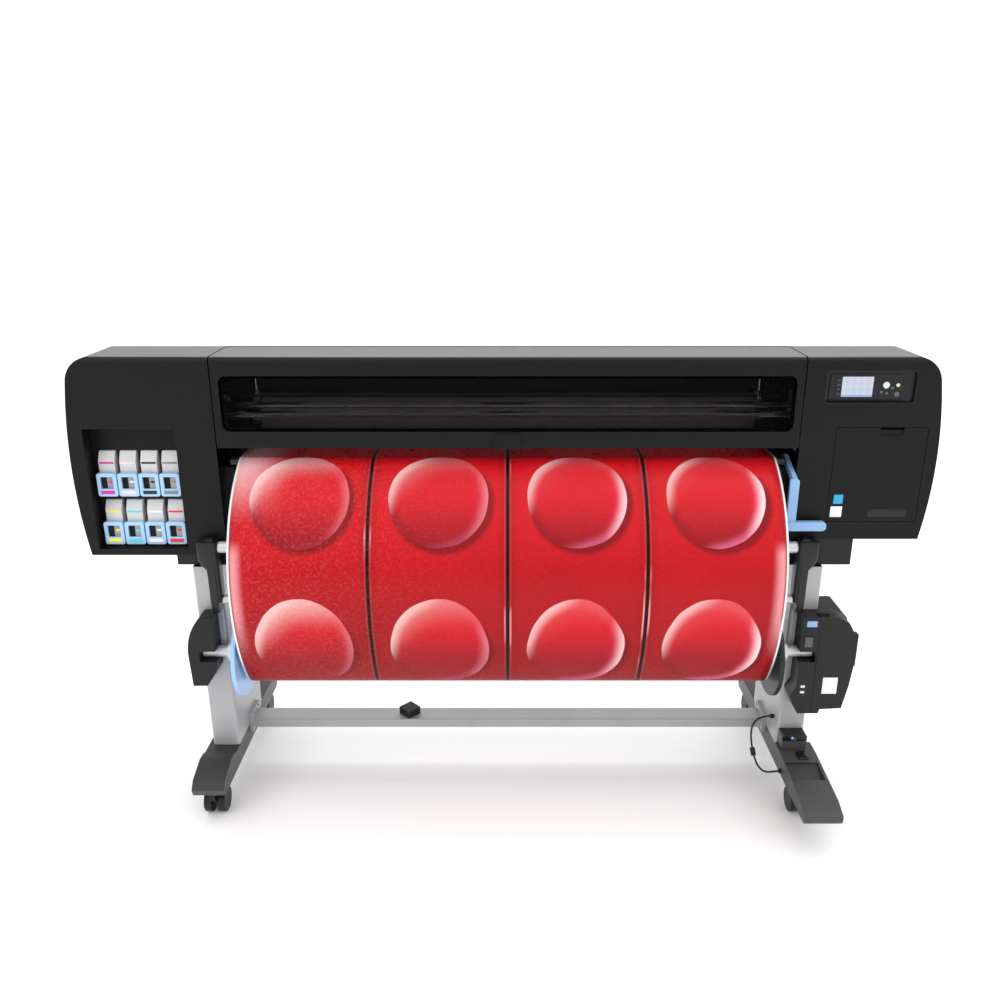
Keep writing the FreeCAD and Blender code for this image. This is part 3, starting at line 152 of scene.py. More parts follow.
def edge_group():
    """A mask that is 1 where the surface turns within a radius, broken up by noise."""
    group, start, end = group_of("edge_wear", [("Radius", "Float", 0.002)], [("Mask", "Float", None)])
    add, link = group.nodes.new, group.links.new
    bevel, shape, dot = add("ShaderNodeBevel"), add("ShaderNodeNewGeometry"), add("ShaderNodeVectorMath")
    spread, noise, joined = add("ShaderNodeMapRange"), add("ShaderNodeTexNoise"), add("ShaderNodeMath")
    bevel.samples = 4
    dot.operation, joined.operation = "DOT_PRODUCT", "MULTIPLY"
    link(start.outputs["Radius"], bevel.inputs["Radius"])
    link(bevel.outputs[0], dot.inputs[0])
    link(shape.outputs["Normal"], dot.inputs[1])
    link(dot.outputs["Value"], spread.inputs["Value"])
    for socket, value in zip(("From Min", "From Max", "To Min", "To Max"), (0.99, 0.8, 0.0, 1.0)):
        spread.inputs[socket].default_value = value
    noise.inputs["Scale"].default_value = 45
    link(spread.outputs[0], joined.inputs[0])
    link(noise.outputs["Fac"], joined.inputs[1])
    link(joined.outputs[0], end.inputs["Mask"])
    return group


GRAIN, EDGE = grain_group(), edge_group()


def coated(name, colour, rough, grain=(900, 0.1), metal=0.0, shine=0.5, worn=None,
           uneven=0.12, stretch=(1, 1, 1)):
    """A finish: colour that wanders a little, lighter worn edges, grain in the normal and gloss."""
    made = bpy.data.materials.new(name)
    made.use_nodes = True
    tree = made.node_tree
    add, link = tree.nodes.new, tree.links.new
    skin = tree.nodes["Principled BSDF"]
    surface, edge = add("ShaderNodeGroup"), add("ShaderNodeGroup")
    surface.node_tree, edge.node_tree = GRAIN, EDGE
    surface.inputs["Scale"].default_value, surface.inputs["Depth"].default_value = grain
    surface.inputs["Stretch"].default_value = stretch
    tone, rub, gloss = add("ShaderNodeMix"), add("ShaderNodeMix"), add("ShaderNodeMapRange")
    tone.data_type = rub.data_type = "RGBA"
    tone.inputs["A"].default_value = (*[v * (1 - uneven) for v in colour], 1)
    tone.inputs["B"].default_value = (*[min(1, v * (1 + uneven)) for v in colour], 1)
    link(surface.outputs["Slow"], tone.inputs["Factor"])
    link(edge.outputs["Mask"], rub.inputs["Factor"])
    link(tone.outputs["Result"], rub.inputs["A"])
    worn = worn or [min(1, v * 1.5 + 0.02) for v in colour]
    rub.inputs["B"].default_value = (*worn, 1)
    link(rub.outputs["Result"], skin.inputs["Base Color"])
    link(surface.outputs["Slow"], gloss.inputs["Value"])
    gloss.inputs["To Min"].default_value = max(0.02, rough - 0.06)
    gloss.inputs["To Max"].default_value = rough + 0.06
    link(gloss.outputs[0], skin.inputs["Roughness"])
    link(surface.outputs["Normal"], skin.inputs["Normal"])
    skin.inputs["Metallic"].default_value = metal
    skin.inputs["Specular IOR Level"].default_value = shine
    return made


def settle(piece, finish, body, slot, stands_for=()):
    """Give a piece its finish and its body, and hide the nodes it stands for. The slot is not used."""
    piece.data.materials.clear()
    piece.data.materials.append(finish)
    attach(piece, body)
    if stands_for:
        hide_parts(*stands_for)
    return piece


def placed(name, points, faces):
    """A mesh object from an array of points and a list of faces, welded, with faces outwards."""
    mesh = bpy.data.meshes.new(name)
    mesh.from_pydata(np.asarray(points, float).reshape(-1, 3).tolist(), [], faces)
    work = bmesh.new()
    work.from_mesh(mesh)
    bmesh.ops.remove_doubles(work, verts=work.verts, dist=1e-6)
    bmesh.ops.recalc_face_normals(work, faces=work.faces)
    work.to_mesh(mesh)
    work.free()
    mesh.polygons.foreach_set("use_smooth", [True] * len(mesh.polygons))
    mesh.set_sharp_from_angle(angle=math.radians(38))
    piece = bpy.data.objects.new(name, mesh)
    bpy.context.collection.objects.link(piece)
    return piece


def grid_faces(rows, columns, round_rows=False, round_columns=True):
    """The four-sided faces of a grid of points; a round way joins its last line to its first."""
    i = np.arange(rows if round_rows else rows - 1)[:, None]
    j = np.arange(columns if round_columns else columns - 1)[None, :]
    after_i, after_j = (i + 1) % rows, (j + 1) % columns
    corners = [i * columns + j, i * columns + after_j, after_i * columns + after_j, after_i * columns + j]
    whole = np.broadcast(i, j).shape
    return np.stack([np.broadcast_to(c, whole) for c in corners], -1).reshape(-1, 4).tolist()


LEAD_BLACK = coated("lead_pvc", (0.01, 0.01, 0.011), 0.42, shine=0.3, grain=(2600, 0.12))
lead_line = bpy.data.curves.new("sensor_lead", "CURVE")
lead_line.dimensions = "3D"
LEAD_ROUTE = np.array([
    (838, -30, 230), (806, -31, 229), (783, -36, 204), (779, -44, 171), (781, -58, 141),
    (785, -78, 114), (792, -104, 97), (802, -134, 98), (818, -151, 109), (838, -158, 118),
]) / 1000
run = lead_line.splines.new("NURBS")
run.points.add(len(LEAD_ROUTE) - 1)
run.points.foreach_set("co", np.column_stack([LEAD_ROUTE, np.ones(len(LEAD_ROUTE))]).ravel())
run.order_u = 3
run.use_endpoint_u = True
run.resolution_u = 12
bare_line = bpy.data.objects.new("lead_centre", lead_line)
lead_way = np.array([v.co for v in bpy.data.meshes.new_from_object(bare_line).vertices])
bpy.data.objects.remove(bare_line)
lead_line.bevel_depth = 0.003
lead_line.bevel_resolution = 5
lead_line.use_fill_caps = True
lead = bpy.data.objects.new("sensor_lead", lead_line)
bpy.context.collection.objects.link(lead)
settle(lead, LEAD_BLACK, "chassis", "lead_black", ["sensor_cable"])

# The sleeve is a barrel with rounded ends and a split line round its middle, centred on the lead.
sleeve_box = np.array(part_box("ferrite_core"))
nearest = np.argmin(np.linalg.norm(lead_way - sleeve_box.mean(0), axis=1))
heading = lead_way[nearest + 3] - lead_way[nearest - 3]
heading /= np.linalg.norm(heading)
side = np.cross(heading, (1, 0, 0))
side /= np.linalg.norm(side)
barrel = np.array([(-13, 3.0), (-13, 6.2), (-12.4, 7.2), (-11.2, 7.8), (-1.0, 8.0), (-0.6, 7.5),
                   (0.6, 7.5), (1.0, 8.0), (11.2, 7.8), (12.4, 7.2), (13, 6.2), (13, 3.0)]) / 1000
swing = np.linspace(0, 2 * np.pi, 40, endpoint=False)
spokes = np.cos(swing)[:, None] * side + np.sin(swing)[:, None] * np.cross(heading, side)
rings = barrel[:, 0, None, None] * heading + barrel[:, 1, None, None] * spokes
sleeve = placed("ferrite_sleeve", lead_way[nearest] + rings, grid_faces(len(barrel), 40, round_rows=True))
SLEEVE_BLACK = coated("ferrite_shell", (0.012, 0.012, 0.013), 0.5, shine=0.3, grain=(1500, 0.2))
settle(sleeve, SLEEVE_BLACK, "chassis", "lead_black", ["ferrite_core"])


# ---------------------------------------------------------------- base frame and drive
# The machine's backbone is a folded and welded steel tray, powder coated black, which the covers
# screw to. It carries the platen, the rods, the rollers, the carriage motor and the electronics.
SHARP = 32


def narrowed(mesh, share, rule):
    """Weighs each edge of a mesh: 0 where the fold is under SHARP degrees, the share where the rule
    takes the edge's midpoint, and 1 elsewhere. An edge's fold is twice the angle whose cosine is
    half the length of its two faces' summed normals."""
    ends, spots = np.zeros(len(mesh.edges) * 2, int), np.zeros(len(mesh.vertices) * 3)
    mesh.edges.foreach_get("vertices", ends)
    mesh.vertices.foreach_get("co", spots)
    middle = spots.reshape(-1, 3)[ends.reshape(-1, 2)].mean(1)
    used, total = np.zeros(len(mesh.loops), int), np.zeros(len(mesh.polygons), int)
    ways, summed = np.zeros(len(mesh.polygons) * 3), np.zeros((len(mesh.edges), 3))
    mesh.loops.foreach_get("edge_index", used)
    mesh.polygons.foreach_get("loop_total", total)
    mesh.polygons.foreach_get("normal", ways)
    np.add.at(summed, used, np.repeat(ways.reshape(-1, 3), total, axis=0))
    fold = 2 * np.degrees(np.arccos(np.clip(np.linalg.norm(summed, axis=1) / 2, 0, 1)))
    weight = np.where(fold > SHARP, 1.0, 0.0) * np.where(rule(middle), share, 1.0)
    layer = mesh.attributes.new("bevel_weight_edge", "FLOAT", "EDGE")
    layer.data.foreach_set("value", weight.astype(np.float32))


def softened(node, width, finish, zones=(), rolls=2, narrow=None):
    """A copy of a rigid node with welded faces and rolled edges, which stands for the node. Each
    zone is a finish and a rule on the faces' centres and normals that says which faces take it.
    narrow is a share of the width and a rule on the edges' midpoints that says which take it."""
    mesh = nodes[node].data.copy()
    work = bmesh.new()
    work.from_mesh(mesh)
    bmesh.ops.remove_doubles(work, verts=work.verts, dist=2e-5)
    bmesh.ops.dissolve_limit(work, angle_limit=math.radians(1), verts=work.verts, edges=work.edges)
    work.to_mesh(mesh)
    work.free()
    mesh.polygons.foreach_set("use_smooth", [True] * len(mesh.polygons))
    piece = bpy.data.objects.new(f"{node}_shell", mesh)
    bpy.context.collection.objects.link(piece)
    roll = piece.modifiers.new("rolled_edges", "BEVEL")
    roll.width, roll.segments, roll.limit_method = width, rolls, "ANGLE"
    roll.angle_limit = math.radians(SHARP)
    if narrow:
        narrowed(mesh, *narrow)
        roll.limit_method = "WEIGHT"
    even = piece.modifiers.new("even_normals", "WEIGHTED_NORMAL")
    even.keep_sharp = True
    record = frame["record"]
    entry = [part for part in record["subparts"] if part["node"] == node][0]
    owner = [name for name, held in record["behaviour"]["bodies"].items() if node in held][0]
    settle(piece, finish, owner, entry["material_slot"], [node])
    centres, ways = np.zeros((2, len(mesh.polygons) * 3))
    mesh.polygons.foreach_get("center", centres)
    mesh.polygons.foreach_get("normal", ways)
    taken = np.zeros(len(mesh.polygons), int)
    for number, (other, rule) in enumerate(zones, 1):
        mesh.materials.append(other)
        taken[rule(centres.reshape(-1, 3), ways.reshape(-1, 3))] = number
    mesh.polygons.foreach_set("material_index", taken)
    return piece


FRAME_BLACK = coated("powder_coat_black", (0.009, 0.009, 0.01), 0.5, shine=0.3, grain=(1300, 0.35))
for held in ("base_frame", "carriage_motor", "service_station", "roll_holders", "electronics_box"):
    softened(held, 0.0012, FRAME_BLACK)
ROD_STEEL = coated("ground_steel", (0.62, 0.63, 0.65), 0.2, grain=(500, 0.12), metal=1.0, stretch=(1, 30, 30))
ROLLER_STEEL = coated("roller_steel", (0.55, 0.56, 0.58), 0.3, grain=(700, 0.4), metal=1.0)
softened("slider_rods", 0.0006, ROD_STEEL)
softened("feed_roller", 0.0008, ROLLER_STEEL)
PLATEN_BLACK = coated("platen_anodised", (0.02, 0.02, 0.022), 0.36, shine=0.35, grain=(900, 0.15))
ROLLER_RUBBER = coated("roller_rubber", (0.012, 0.012, 0.012), 0.75, shine=0.3, grain=(1800, 0.3))
BELT_RUBBER = coated("belt_rubber", (0.01, 0.01, 0.011), 0.7, shine=0.3, grain=(1200, 0.4))
softened("platen", 0.0012, PLATEN_BLACK)
softened("pinch_rollers", 0.0008, ROLLER_RUBBER)
softened("drive_belt", 0.0003, BELT_RUBBER)
PULLEY_ALU = coated("pulley_aluminium", (0.6, 0.61, 0.62), 0.32, grain=(700, 0.2), metal=1.0)
softened("drive_pulley", 0.0005, PULLEY_ALU)
softened("idler_pulley", 0.0005, PULLEY_ALU)
softened("carriage", 0.003, coated("carriage_shell", (0.16, 0.165, 0.17), 0.45, grain=(1000, 0.25)))


# ---------------------------------------------------------------- covers and window
# Moulded structural foam covers with a fine matt texture: charcoal at both ends, a painted steel top,
# and the hinged charcoal window frame that holds a dark pane. The top, and the faces of the covers
# and the frame that look up, take a lighter grey: a painted reflection of the light from above.
CHARCOAL = coated("charcoal_moulding", (0.0062, 0.0058, 0.0063), 0.44, shine=0.17,
                  grain=(2200, 0.25), worn=(0.05, 0.05, 0.053))
# The top's lighter grey is a painted reflection of the light from above, seen at a grazing angle.
TOP_REFLECTION_GREY = coated("top_painted_reflection", (0.075, 0.076, 0.08), 0.34, shine=0.35, grain=(1500, 0.1))
REAR_GREY = coated("rear_paint", (0.13, 0.132, 0.137), 0.42, grain=(1500, 0.2))
COVER_ROLL, FRAME_ROLL = 0.011, 0.009


def faces_taking_reflection(centres, ways):
    """Faces that look up at the top of the machine, which take the top's lighter grey, a painted reflection.
    """
    return (ways[:, 2] > 0.93) & (centres[:, 2] > 1.29)


def left_fine(spots):
    """The left cover's edges round the ink bay, under it and where it meets the frame."""
    x, z = spots[:, 0], spots[:, 2]
    return (x > -1.178) & (x < -0.79) & ((z < 1.18) | (x > -0.81)) & (z < 1.365)


def right_fine(spots):
    """The right cover's edges round the panel and the door, inside its outer corner."""
    x, z = spots[:, 0], spots[:, 2]
    return (x < 1.187) & (z < 1.34) & (z > 0.85)


def opening_fine(spots):
    """The window frame's edges round its opening."""
    return (spots[:, 2] < 1.36) & (spots[:, 2] > 1.12)


# The faces that look up at the top take the same painted reflection as the top.
reflection_on_top = [(TOP_REFLECTION_GREY, faces_taking_reflection)]
softened("left_end_cover", COVER_ROLL, CHARCOAL, reflection_on_top, rolls=4, narrow=(0.4, left_fine))
softened("right_end_cover", COVER_ROLL, CHARCOAL, reflection_on_top, rolls=4, narrow=(0.13, right_fine))
softened("top_cover", 0.002, TOP_REFLECTION_GREY)
softened("rear_cover", 0.001, REAR_GREY)
softened("window_frame", FRAME_ROLL, CHARCOAL, reflection_on_top, rolls=4, narrow=(0.3, opening_fine))


def smoked_pane():
    """Dark tinted acrylic that lets a little through, with faint wipe marks in its gloss."""
    made = coated("smoked_pane", (0.24, 0.24, 0.25), 0.07, grain=(40, 0.004), shine=0.1)
    made.node_tree.nodes["Principled BSDF"].inputs["Transmission Weight"].default_value = 1.0
    made.node_tree.nodes["Principled BSDF"].inputs["IOR"].default_value = 1.1
    return made


softened("window_glass", 0.0006, smoked_pane())


# ---------------------------------------------------------------- ink station
# A dark bay in the left cover holds two rows of four ink tanks. Each slides on a pale blue
# moulded tray with a square sight, a coloured label strip and a white tank with a stripe on top.
def skinned(name, loops):
    """A closed solid through a stack of closed loops of equal count, shut by a face at each end."""
    loops = np.asarray(loops, float)
    count, around = loops.shape[:2]
    faces = grid_faces(count, around)
    faces += [list(range(around)), list(range((count - 1) * around, count * around))]
    return placed(name, loops, faces)


def loop_of(low, high, radius, steps=6):
    """A rounded rectangle in two dimensions, as an array of points run anticlockwise."""
    (x0, z0), (x1, z1) = low, high
    turn = np.linspace(0, np.pi / 2, steps)
    parts = []
    for k, (x, z) in enumerate(((x1 - radius, z1 - radius), (x0 + radius, z1 - radius),
                                (x0 + radius, z0 + radius), (x1 - radius, z0 + radius))):
        angle = turn + k * np.pi / 2
        parts.append(np.stack([x + radius * np.cos(angle), z + radius * np.sin(angle)], -1))
    return np.concatenate(parts)


def standing(loop, y):
    """Lift a flat loop in X and Z to a place along Y."""
    return np.stack([loop[:, 0], np.full(len(loop), y), loop[:, 1]], -1)


def pillow(name, low, high, edge, corner, steps):
    """A plate or block facing -Y: rounded corners in X and Z, and edges rolled over front and back.
    The edge is a quarter circle: inset by edge times 1 less the sine, in by 1 less the cosine."""
    turn = np.linspace(0, np.pi / 2, 4)
    inset, depth = edge * (1 - np.sin(turn)), edge * (1 - np.cos(turn))
    levels = [(low[1] + d, s) for d, s in zip(depth, inset)]
    levels += [(high[1] - d, s) for d, s in zip(depth[::-1], inset[::-1])]
    loops = [standing(loop_of((low[0] + s, low[2] + s), (high[0] - s, high[2] - s),
                              max(corner - s, edge * 0.2), steps), y) for y, s in levels]
    return skinned(name, loops)


softened("ink_bay", 0.0015, CHARCOAL)
TRAY_BLUE = coated("tray_blue", (0.36, 0.58, 0.86), 0.38, grain=(1500, 0.12), uneven=0.05)
TANK_WHITE = coated("tank_white", (0.62, 0.62, 0.63), 0.35, grain=(900, 0.12), uneven=0.05)
SIGHT_BLACK = coated("sight_black", (0.004, 0.004, 0.004), 0.5, shine=0.2)
SIGHT_GREY = coated("sight_grey", (0.3, 0.3, 0.3), 0.4)
INKS = [
    ("magenta", (0.6, 0.02, 0.34)), ("pink", (0.86, 0.66, 0.76)),
    ("black", (0.01, 0.01, 0.01)), ("grey", (0.22, 0.22, 0.23)),
    ("yellow", (0.88, 0.84, 0.02)), ("cyan", (0.1, 0.62, 0.66)),
    ("white", (0.85, 0.85, 0.86)), ("red", (0.8, 0.015, 0.015)),
]
TRAY_FRONT = -0.0345
for n, (tint, ink) in enumerate(INKS, 1):
    low, high = np.array(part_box(f"ink_drawer_{n}"))
    x, z = (low[0] + high[0]) / 2, low[2]
    softened(f"ink_drawer_{n}", 0.0012, TANK_WHITE, [(TRAY_BLUE, lambda c, w: c[:, 1] < TRAY_FRONT)])
    INK = coated(f"label_{tint}", ink, 0.4, grain=(1200, 0.1), uneven=0.05)
    # Each plate is its finish, its reach in X and Z from the drawer's middle and foot, and its Y.
    for part, finish, (x0, x1), (z0, z1), (y0, y1) in (
        ("label", INK, (-0.0195, 0.0195), (0.007, 0.0175), (-0.0478, -0.0468)),
        ("stripe", INK, (-0.0205, 0.0205), (0.093, 0.0985), (-0.0318, -0.0308)),
        ("sight_dark", SIGHT_BLACK, (-0.0178, -0.001), (0.0222, 0.0578), (-0.0402, -0.0392)),
        ("sight_tank", SIGHT_GREY, (-0.001, 0.0178), (0.0222, 0.0578), (-0.0406, -0.0392)),
        ("sight_dash", INK, (0.003, 0.016), (0.039, 0.045), (-0.0412, -0.0402)),
    ):
        plate = pillow(f"{part}_{n}", (x + x0, y0, z + z0), (x + x1, y1, z + z1), 0.0003, 0.0008, 3)
        settle(plate, finish, f"ink_drawer_{n}", f"tank_{n}")


# ---------------------------------------------------------------- front panel, door and lever
# The control panel is a black gloss bezel with a lit colour screen and rubber keys. Below it a
# charcoal door covers the service space, and a pale blue lever lifts the pinch rollers.
softened("service_door", 0.003, CHARCOAL, rolls=3)
BEZEL = coated("bezel_black", (0.006, 0.006, 0.0065), 0.28, shine=0.35, grain=(1800, 0.08))


def bezel_face(centres, ways):
    """The panel's gloss inlay: what lies within its reach of the inlay's middle in X and in Z."""
    return (abs(centres[:, 0] - 0.99) < 0.0975) & (abs(centres[:, 2] - 1.287) < 0.0355)


softened("panel_bezel", 0.002, CHARCOAL, [(BEZEL, bezel_face)], rolls=3)


class Painter:
    """Writes a material's sums as nodes: each call adds nodes and gives back the last one's output."""

    def __init__(self, made):
        self.tree = made.node_tree

    def sum(self, way, *values):
        """One sum of the kind named, on values that are numbers or other nodes' outputs."""
        box = self.tree.nodes.new("ShaderNodeMath")
        box.operation = way
        for socket, value in zip(box.inputs, values):
            if isinstance(value, (int, float)):
                socket.default_value = value
            else:
                self.tree.links.new(value, socket)
        return box.outputs[0]

    def times(self, one, other):
        """One value times the other."""
        return self.sum("MULTIPLY", one, other)

    def plus(self, one, other):
        """One value and the other added."""
        return self.sum("ADD", one, other)

    def minus(self, one, other):
        """One value less the other."""
        return self.sum("SUBTRACT", one, other)

    def apart(self, across, up):
        """The length of a flat step: the square root of its two parts' summed squares."""
        squares = [self.sum("POWER", self.sum("ABSOLUTE", way), 2.0) for way in (across, up)]
        return self.sum("SQRT", self.plus(*squares))

    def ramp(self, value, low, high, start=0.0, finish=1.0):
        """Smoothly from start at low to finish at high."""
        box = self.tree.nodes.new("ShaderNodeMapRange")
        box.interpolation_type = "SMOOTHSTEP"
        self.tree.links.new(value, box.inputs["Value"])
        for socket, number in zip(("From Min", "From Max", "To Min", "To Max"), (low, high, start, finish)):
            box.inputs[socket].default_value = number
        return box.outputs[0]

    def blend(self, under, over, amount):
        """The colour under with the colour over laid on it by an amount from 0 to 1."""
        box = self.tree.nodes.new("ShaderNodeMix")
        box.data_type = "RGBA"
        for socket, value in (("A", under), ("B", over), ("Factor", amount)):
            if isinstance(value, tuple):
                box.inputs[socket].default_value = (*value, 1)
            elif isinstance(value, (int, float)):
                box.inputs[socket].default_value = value
            else:
                self.tree.links.new(value, box.inputs[socket])
        return box.outputs["Result"]


SCREEN_LEFT, SCREEN_LOW, SCREEN_WIDE, SCREEN_TALL = 0.930, 1.268, 0.078, 0.040


def lit_screen():
    """A back-lit picture of pale tiles, four across and two up. A point's place in its tile is the
    fraction of its place on the screen in tiles; a tile's tint follows its column and row."""
    made = coated("lit_screen", (0.02, 0.02, 0.022), 0.2, grain=(300, 0.01), shine=0.2)
    brush, skin = Painter(made), made.node_tree.nodes["Principled BSDF"]
    spot, parts = brush.tree.nodes.new("ShaderNodeTexCoord"), brush.tree.nodes.new("ShaderNodeSeparateXYZ")
    brush.tree.links.new(spot.outputs["Object"], parts.inputs[0])
    across_screen = brush.times(brush.minus(parts.outputs["X"], SCREEN_LEFT), 4 / SCREEN_WIDE)
    up_screen = brush.times(brush.minus(parts.outputs["Z"], SCREEN_LOW), 2 / SCREEN_TALL)
    off_x, off_z = [brush.sum("ABSOLUTE", brush.minus(brush.sum("FRACT", way), 0.5))
                    for way in (across_screen, up_screen)]
    from_tile = brush.sum("MAXIMUM", off_x, off_z)
    ring = brush.times(brush.ramp(from_tile, 0.36, 0.42, 1, 0), brush.ramp(from_tile, 0.27, 0.33))
    column = brush.times(brush.sum("FLOOR", across_screen), 0.25)
    row = brush.sum("MAXIMUM", brush.sum("MINIMUM", brush.sum("FLOOR", up_screen), 1.0), 0.0)
    tint = brush.blend((0.45, 0.6, 0.85), (0.85, 0.5, 0.45), brush.times(column, row))
    shown = brush.blend((0.72, 0.8, 0.95), tint, brush.times(ring, 0.7))
    mark = brush.ramp(brush.times(off_x, off_z), 0.004, 0.012, 0.5, 0)
    shown = brush.blend(shown, (0.45, 0.45, 0.55), mark)
    # A plain blue bar fills what is left below the tiles.
    shown = brush.blend((0.45, 0.52, 0.85), shown, brush.ramp(up_screen, -0.2, -0.1))
    brush.tree.links.new(shown, skin.inputs["Emission Color"])
    skin.inputs["Emission Strength"].default_value = 0.85
    return made


softened("display_screen", 0.0006, lit_screen())
KEY_GREY = coated("key_rubber", (0.1, 0.1, 0.105), 0.5, grain=(1800, 0.15), shine=0.3)
KEY_PALE = coated("key_pale", (0.55, 0.68, 0.72), 0.4, uneven=0.05)
KEY_SAND = coated("key_sand", (0.72, 0.62, 0.42), 0.45, uneven=0.05)
softened("shortcut_keys", 0.0006, coated("key_dark", (0.05, 0.05, 0.053), 0.5, shine=0.3))
softened("menu_keys", 0.0006, KEY_GREY, [
    (KEY_PALE, lambda c, w: np.hypot(c[:, 0] - 1.047, c[:, 2] - 1.291) < 0.0125),
    (KEY_SAND, lambda c, w: (c[:, 0] > 1.066) & (c[:, 2] > 1.28)),
])
softened("power_key", 0.0006, KEY_GREY)
# A rubber seal runs round the door's mouth, just behind the door's own rear face. It reaches past
# the door's edge to cover the gap, furthest below, and a little way in behind the door.
SEAL = coated("seal_rubber", (0.008, 0.008, 0.008), 0.7, shine=0.2, grain=(1800, 0.3))
SEAL_FRONT, SEAL_BACK, SEAL_IN, SEAL_CORNER = -0.0485, -0.0455, 0.008, 0.004
(door_x0, _, door_z0), (door_x1, _, door_z1) = np.array(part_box("service_door"))
outer = loop_of((door_x0 - 0.010, door_z0 - 0.014), (door_x1 + 0.008, door_z1 + 0.010), SEAL_CORNER)
inner = loop_of((door_x0 + SEAL_IN, door_z0 + SEAL_IN), (door_x1 - SEAL_IN, door_z1 - SEAL_IN), SEAL_CORNER)
seal_loops = [standing(outer, SEAL_FRONT), standing(inner, SEAL_FRONT),
              standing(inner, SEAL_BACK), standing(outer, SEAL_BACK)]
seal = placed("door_seal", seal_loops, grid_faces(4, len(outer), round_rows=True))
settle(seal, SEAL, "chassis", "rubber_black")
# The service space's floor closes the cover underneath, outboard of the base frame.
cover_spots = np.zeros(len(nodes["right_end_cover"].data.vertices) * 3)
nodes["right_end_cover"].data.vertices.foreach_get("co", cover_spots)
cover_spots = cover_spots.reshape(-1, 3)
foot_reach = cover_spots[cover_spots[:, 2] < 0.85, 0].max()
base_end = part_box("base_frame")[1][0]
floor_loop = loop_of((base_end + 0.001, -0.064), (foot_reach - 0.004, 0.372), 0.003)
floor_levels = [np.column_stack([floor_loop, np.full(len(floor_loop), z)]) for z in (0.8445, 0.8475)]
settle(skinned("service_floor", floor_levels), FRAME_BLACK, "chassis", "frame_black")
STICKER_BLUE = coated("sticker_blue", (0.03, 0.36, 0.68), 0.4, uneven=0.2)
STICKER_WHITE = coated("sticker_white", (0.8, 0.8, 0.8), 0.45, uneven=0.05)
PLATE_DARK = coated("plate_dark", (0.012, 0.012, 0.0125), 0.35, shine=0.3)
for name, low, high, edge, corner, finish in (
    ("sticker_blue", (0.939, -0.0705, 0.951), (0.965, -0.0699, 0.978), 0.0002, 0.002, STICKER_BLUE),
    ("sticker_white", (0.933, -0.0705, 0.911), (0.966, -0.0699, 0.943), 0.0002, 0.002, STICKER_WHITE),
    ("blank_plate", (1.040, -0.0707, 0.912), (1.150, -0.0698, 0.934), 0.0003, 0.003, PLATE_DARK),
):
    settle(pillow(name, low, high, edge, corner, 4), finish, "service_door", "body_charcoal")
LEVER_BLUE = coated("lever_blue", (0.26, 0.46, 0.76), 0.36, grain=(1500, 0.12), uneven=0.06)
softened("media_lever", 0.003, LEVER_BLUE, rolls=3)
softened("fasteners", 0.0004, PULLEY_ALU)


# ---------------------------------------------------------------- printed web
# The web is 60 in glossy vinyl, printed on its outer face and white behind. It comes off the
# supply roll over the feed roller and platen, bows forward and winds on the take-up roll.
WEB_HALF, WEB_THICK, WEB_LINES = 0.762, 0.0013, 61
LIFT = 0.00075
# The arcs that the web's side outline follows, each a centre in Y and Z and a radius: the platen's
# lip, the upper and the lower half of the bow, and the take-up roll.
LIP, BOW_UPPER = (-0.030, 1.065, 0.0105), (0.1135, 0.737, 0.3685)
BOW_LOWER, ON_ROLL = (0.2683, 0.737, 0.5233), (-0.096, 0.496, 0.0865)


def arc_run(arc, begin, finish, count):
    """Points (y, z) on an arc lifted off it a little, from one angle in degrees to another."""
    y, z, radius = arc
    angle = np.radians(np.linspace(begin, finish, count))
    return np.stack([y + (radius + LIFT) * np.cos(angle), z + (radius + LIFT) * np.sin(angle)], -1)


def web_surface():
    """Carries the web's side outline across its width; the width and the length along it are its
    UV. Neighbouring arcs touch where the line through their centres meets them."""
    nose = math.degrees(math.atan2(0.328, -0.1435))
    turn = math.degrees(math.atan2(-0.241, -0.3643)) + 360
    flat = np.array([(0.290, 1.063 + LIFT), (0.130, 1.0755 + LIFT), (-0.030, 1.0755 + LIFT)])
    side_line = np.concatenate([
        np.linspace(flat[0], flat[1], 8)[:-1],
        np.linspace(flat[1], flat[2], 10)[:-1],
        arc_run(LIP, 90, nose, 5)[:-1],
        arc_run(BOW_UPPER, nose, 180, 40)[:-1],
        arc_run(BOW_LOWER, 180, turn, 24)[:-1],
        arc_run(ON_ROLL, turn, 300, 24),
    ])
    along = np.concatenate([[0], np.cumsum(np.linalg.norm(np.diff(side_line, axis=0), axis=1))])
    # Lengths count upwards from the bow's foremost point.
    foremost = (BOW_UPPER[0] - BOW_UPPER[2] - LIFT, BOW_UPPER[1])
    along = along[np.argmin(np.abs(side_line - foremost).sum(1))] - along
    across_web = np.linspace(-WEB_HALF, WEB_HALF, WEB_LINES)
    spots = np.zeros((len(side_line), WEB_LINES, 3))
    spots[..., 0] = MIDDLE + across_web
    spots[..., 1:] = side_line[:, None, :]
    reach = np.stack(np.broadcast_arrays(across_web[None, :], along[:, None]), -1)
    return spots, reach, float(along.max() - along.min())


def add_uv(piece, reach):
    """Gives each corner of a gridded piece the two lengths of its grid point, in metres."""
    corner = np.zeros(len(piece.data.loops), int)
    piece.data.loops.foreach_get("vertex_index", corner)
    layer = piece.data.uv_layers.new(name="lengths")
    layer.data.foreach_set("uv", reach.reshape(-1, 2)[corner].astype(np.float32).ravel())


def gridded(name, spots, faces):
    """A smooth mesh object straight from grid points and faces, in their own order."""
    mesh = bpy.data.meshes.new(name)
    mesh.from_pydata(spots.reshape(-1, 3).tolist(), [], faces)
    mesh.polygons.foreach_set("use_smooth", [True] * len(mesh.polygons))
    piece = bpy.data.objects.new(name, mesh)
    bpy.context.collection.objects.link(piece)
    return piece


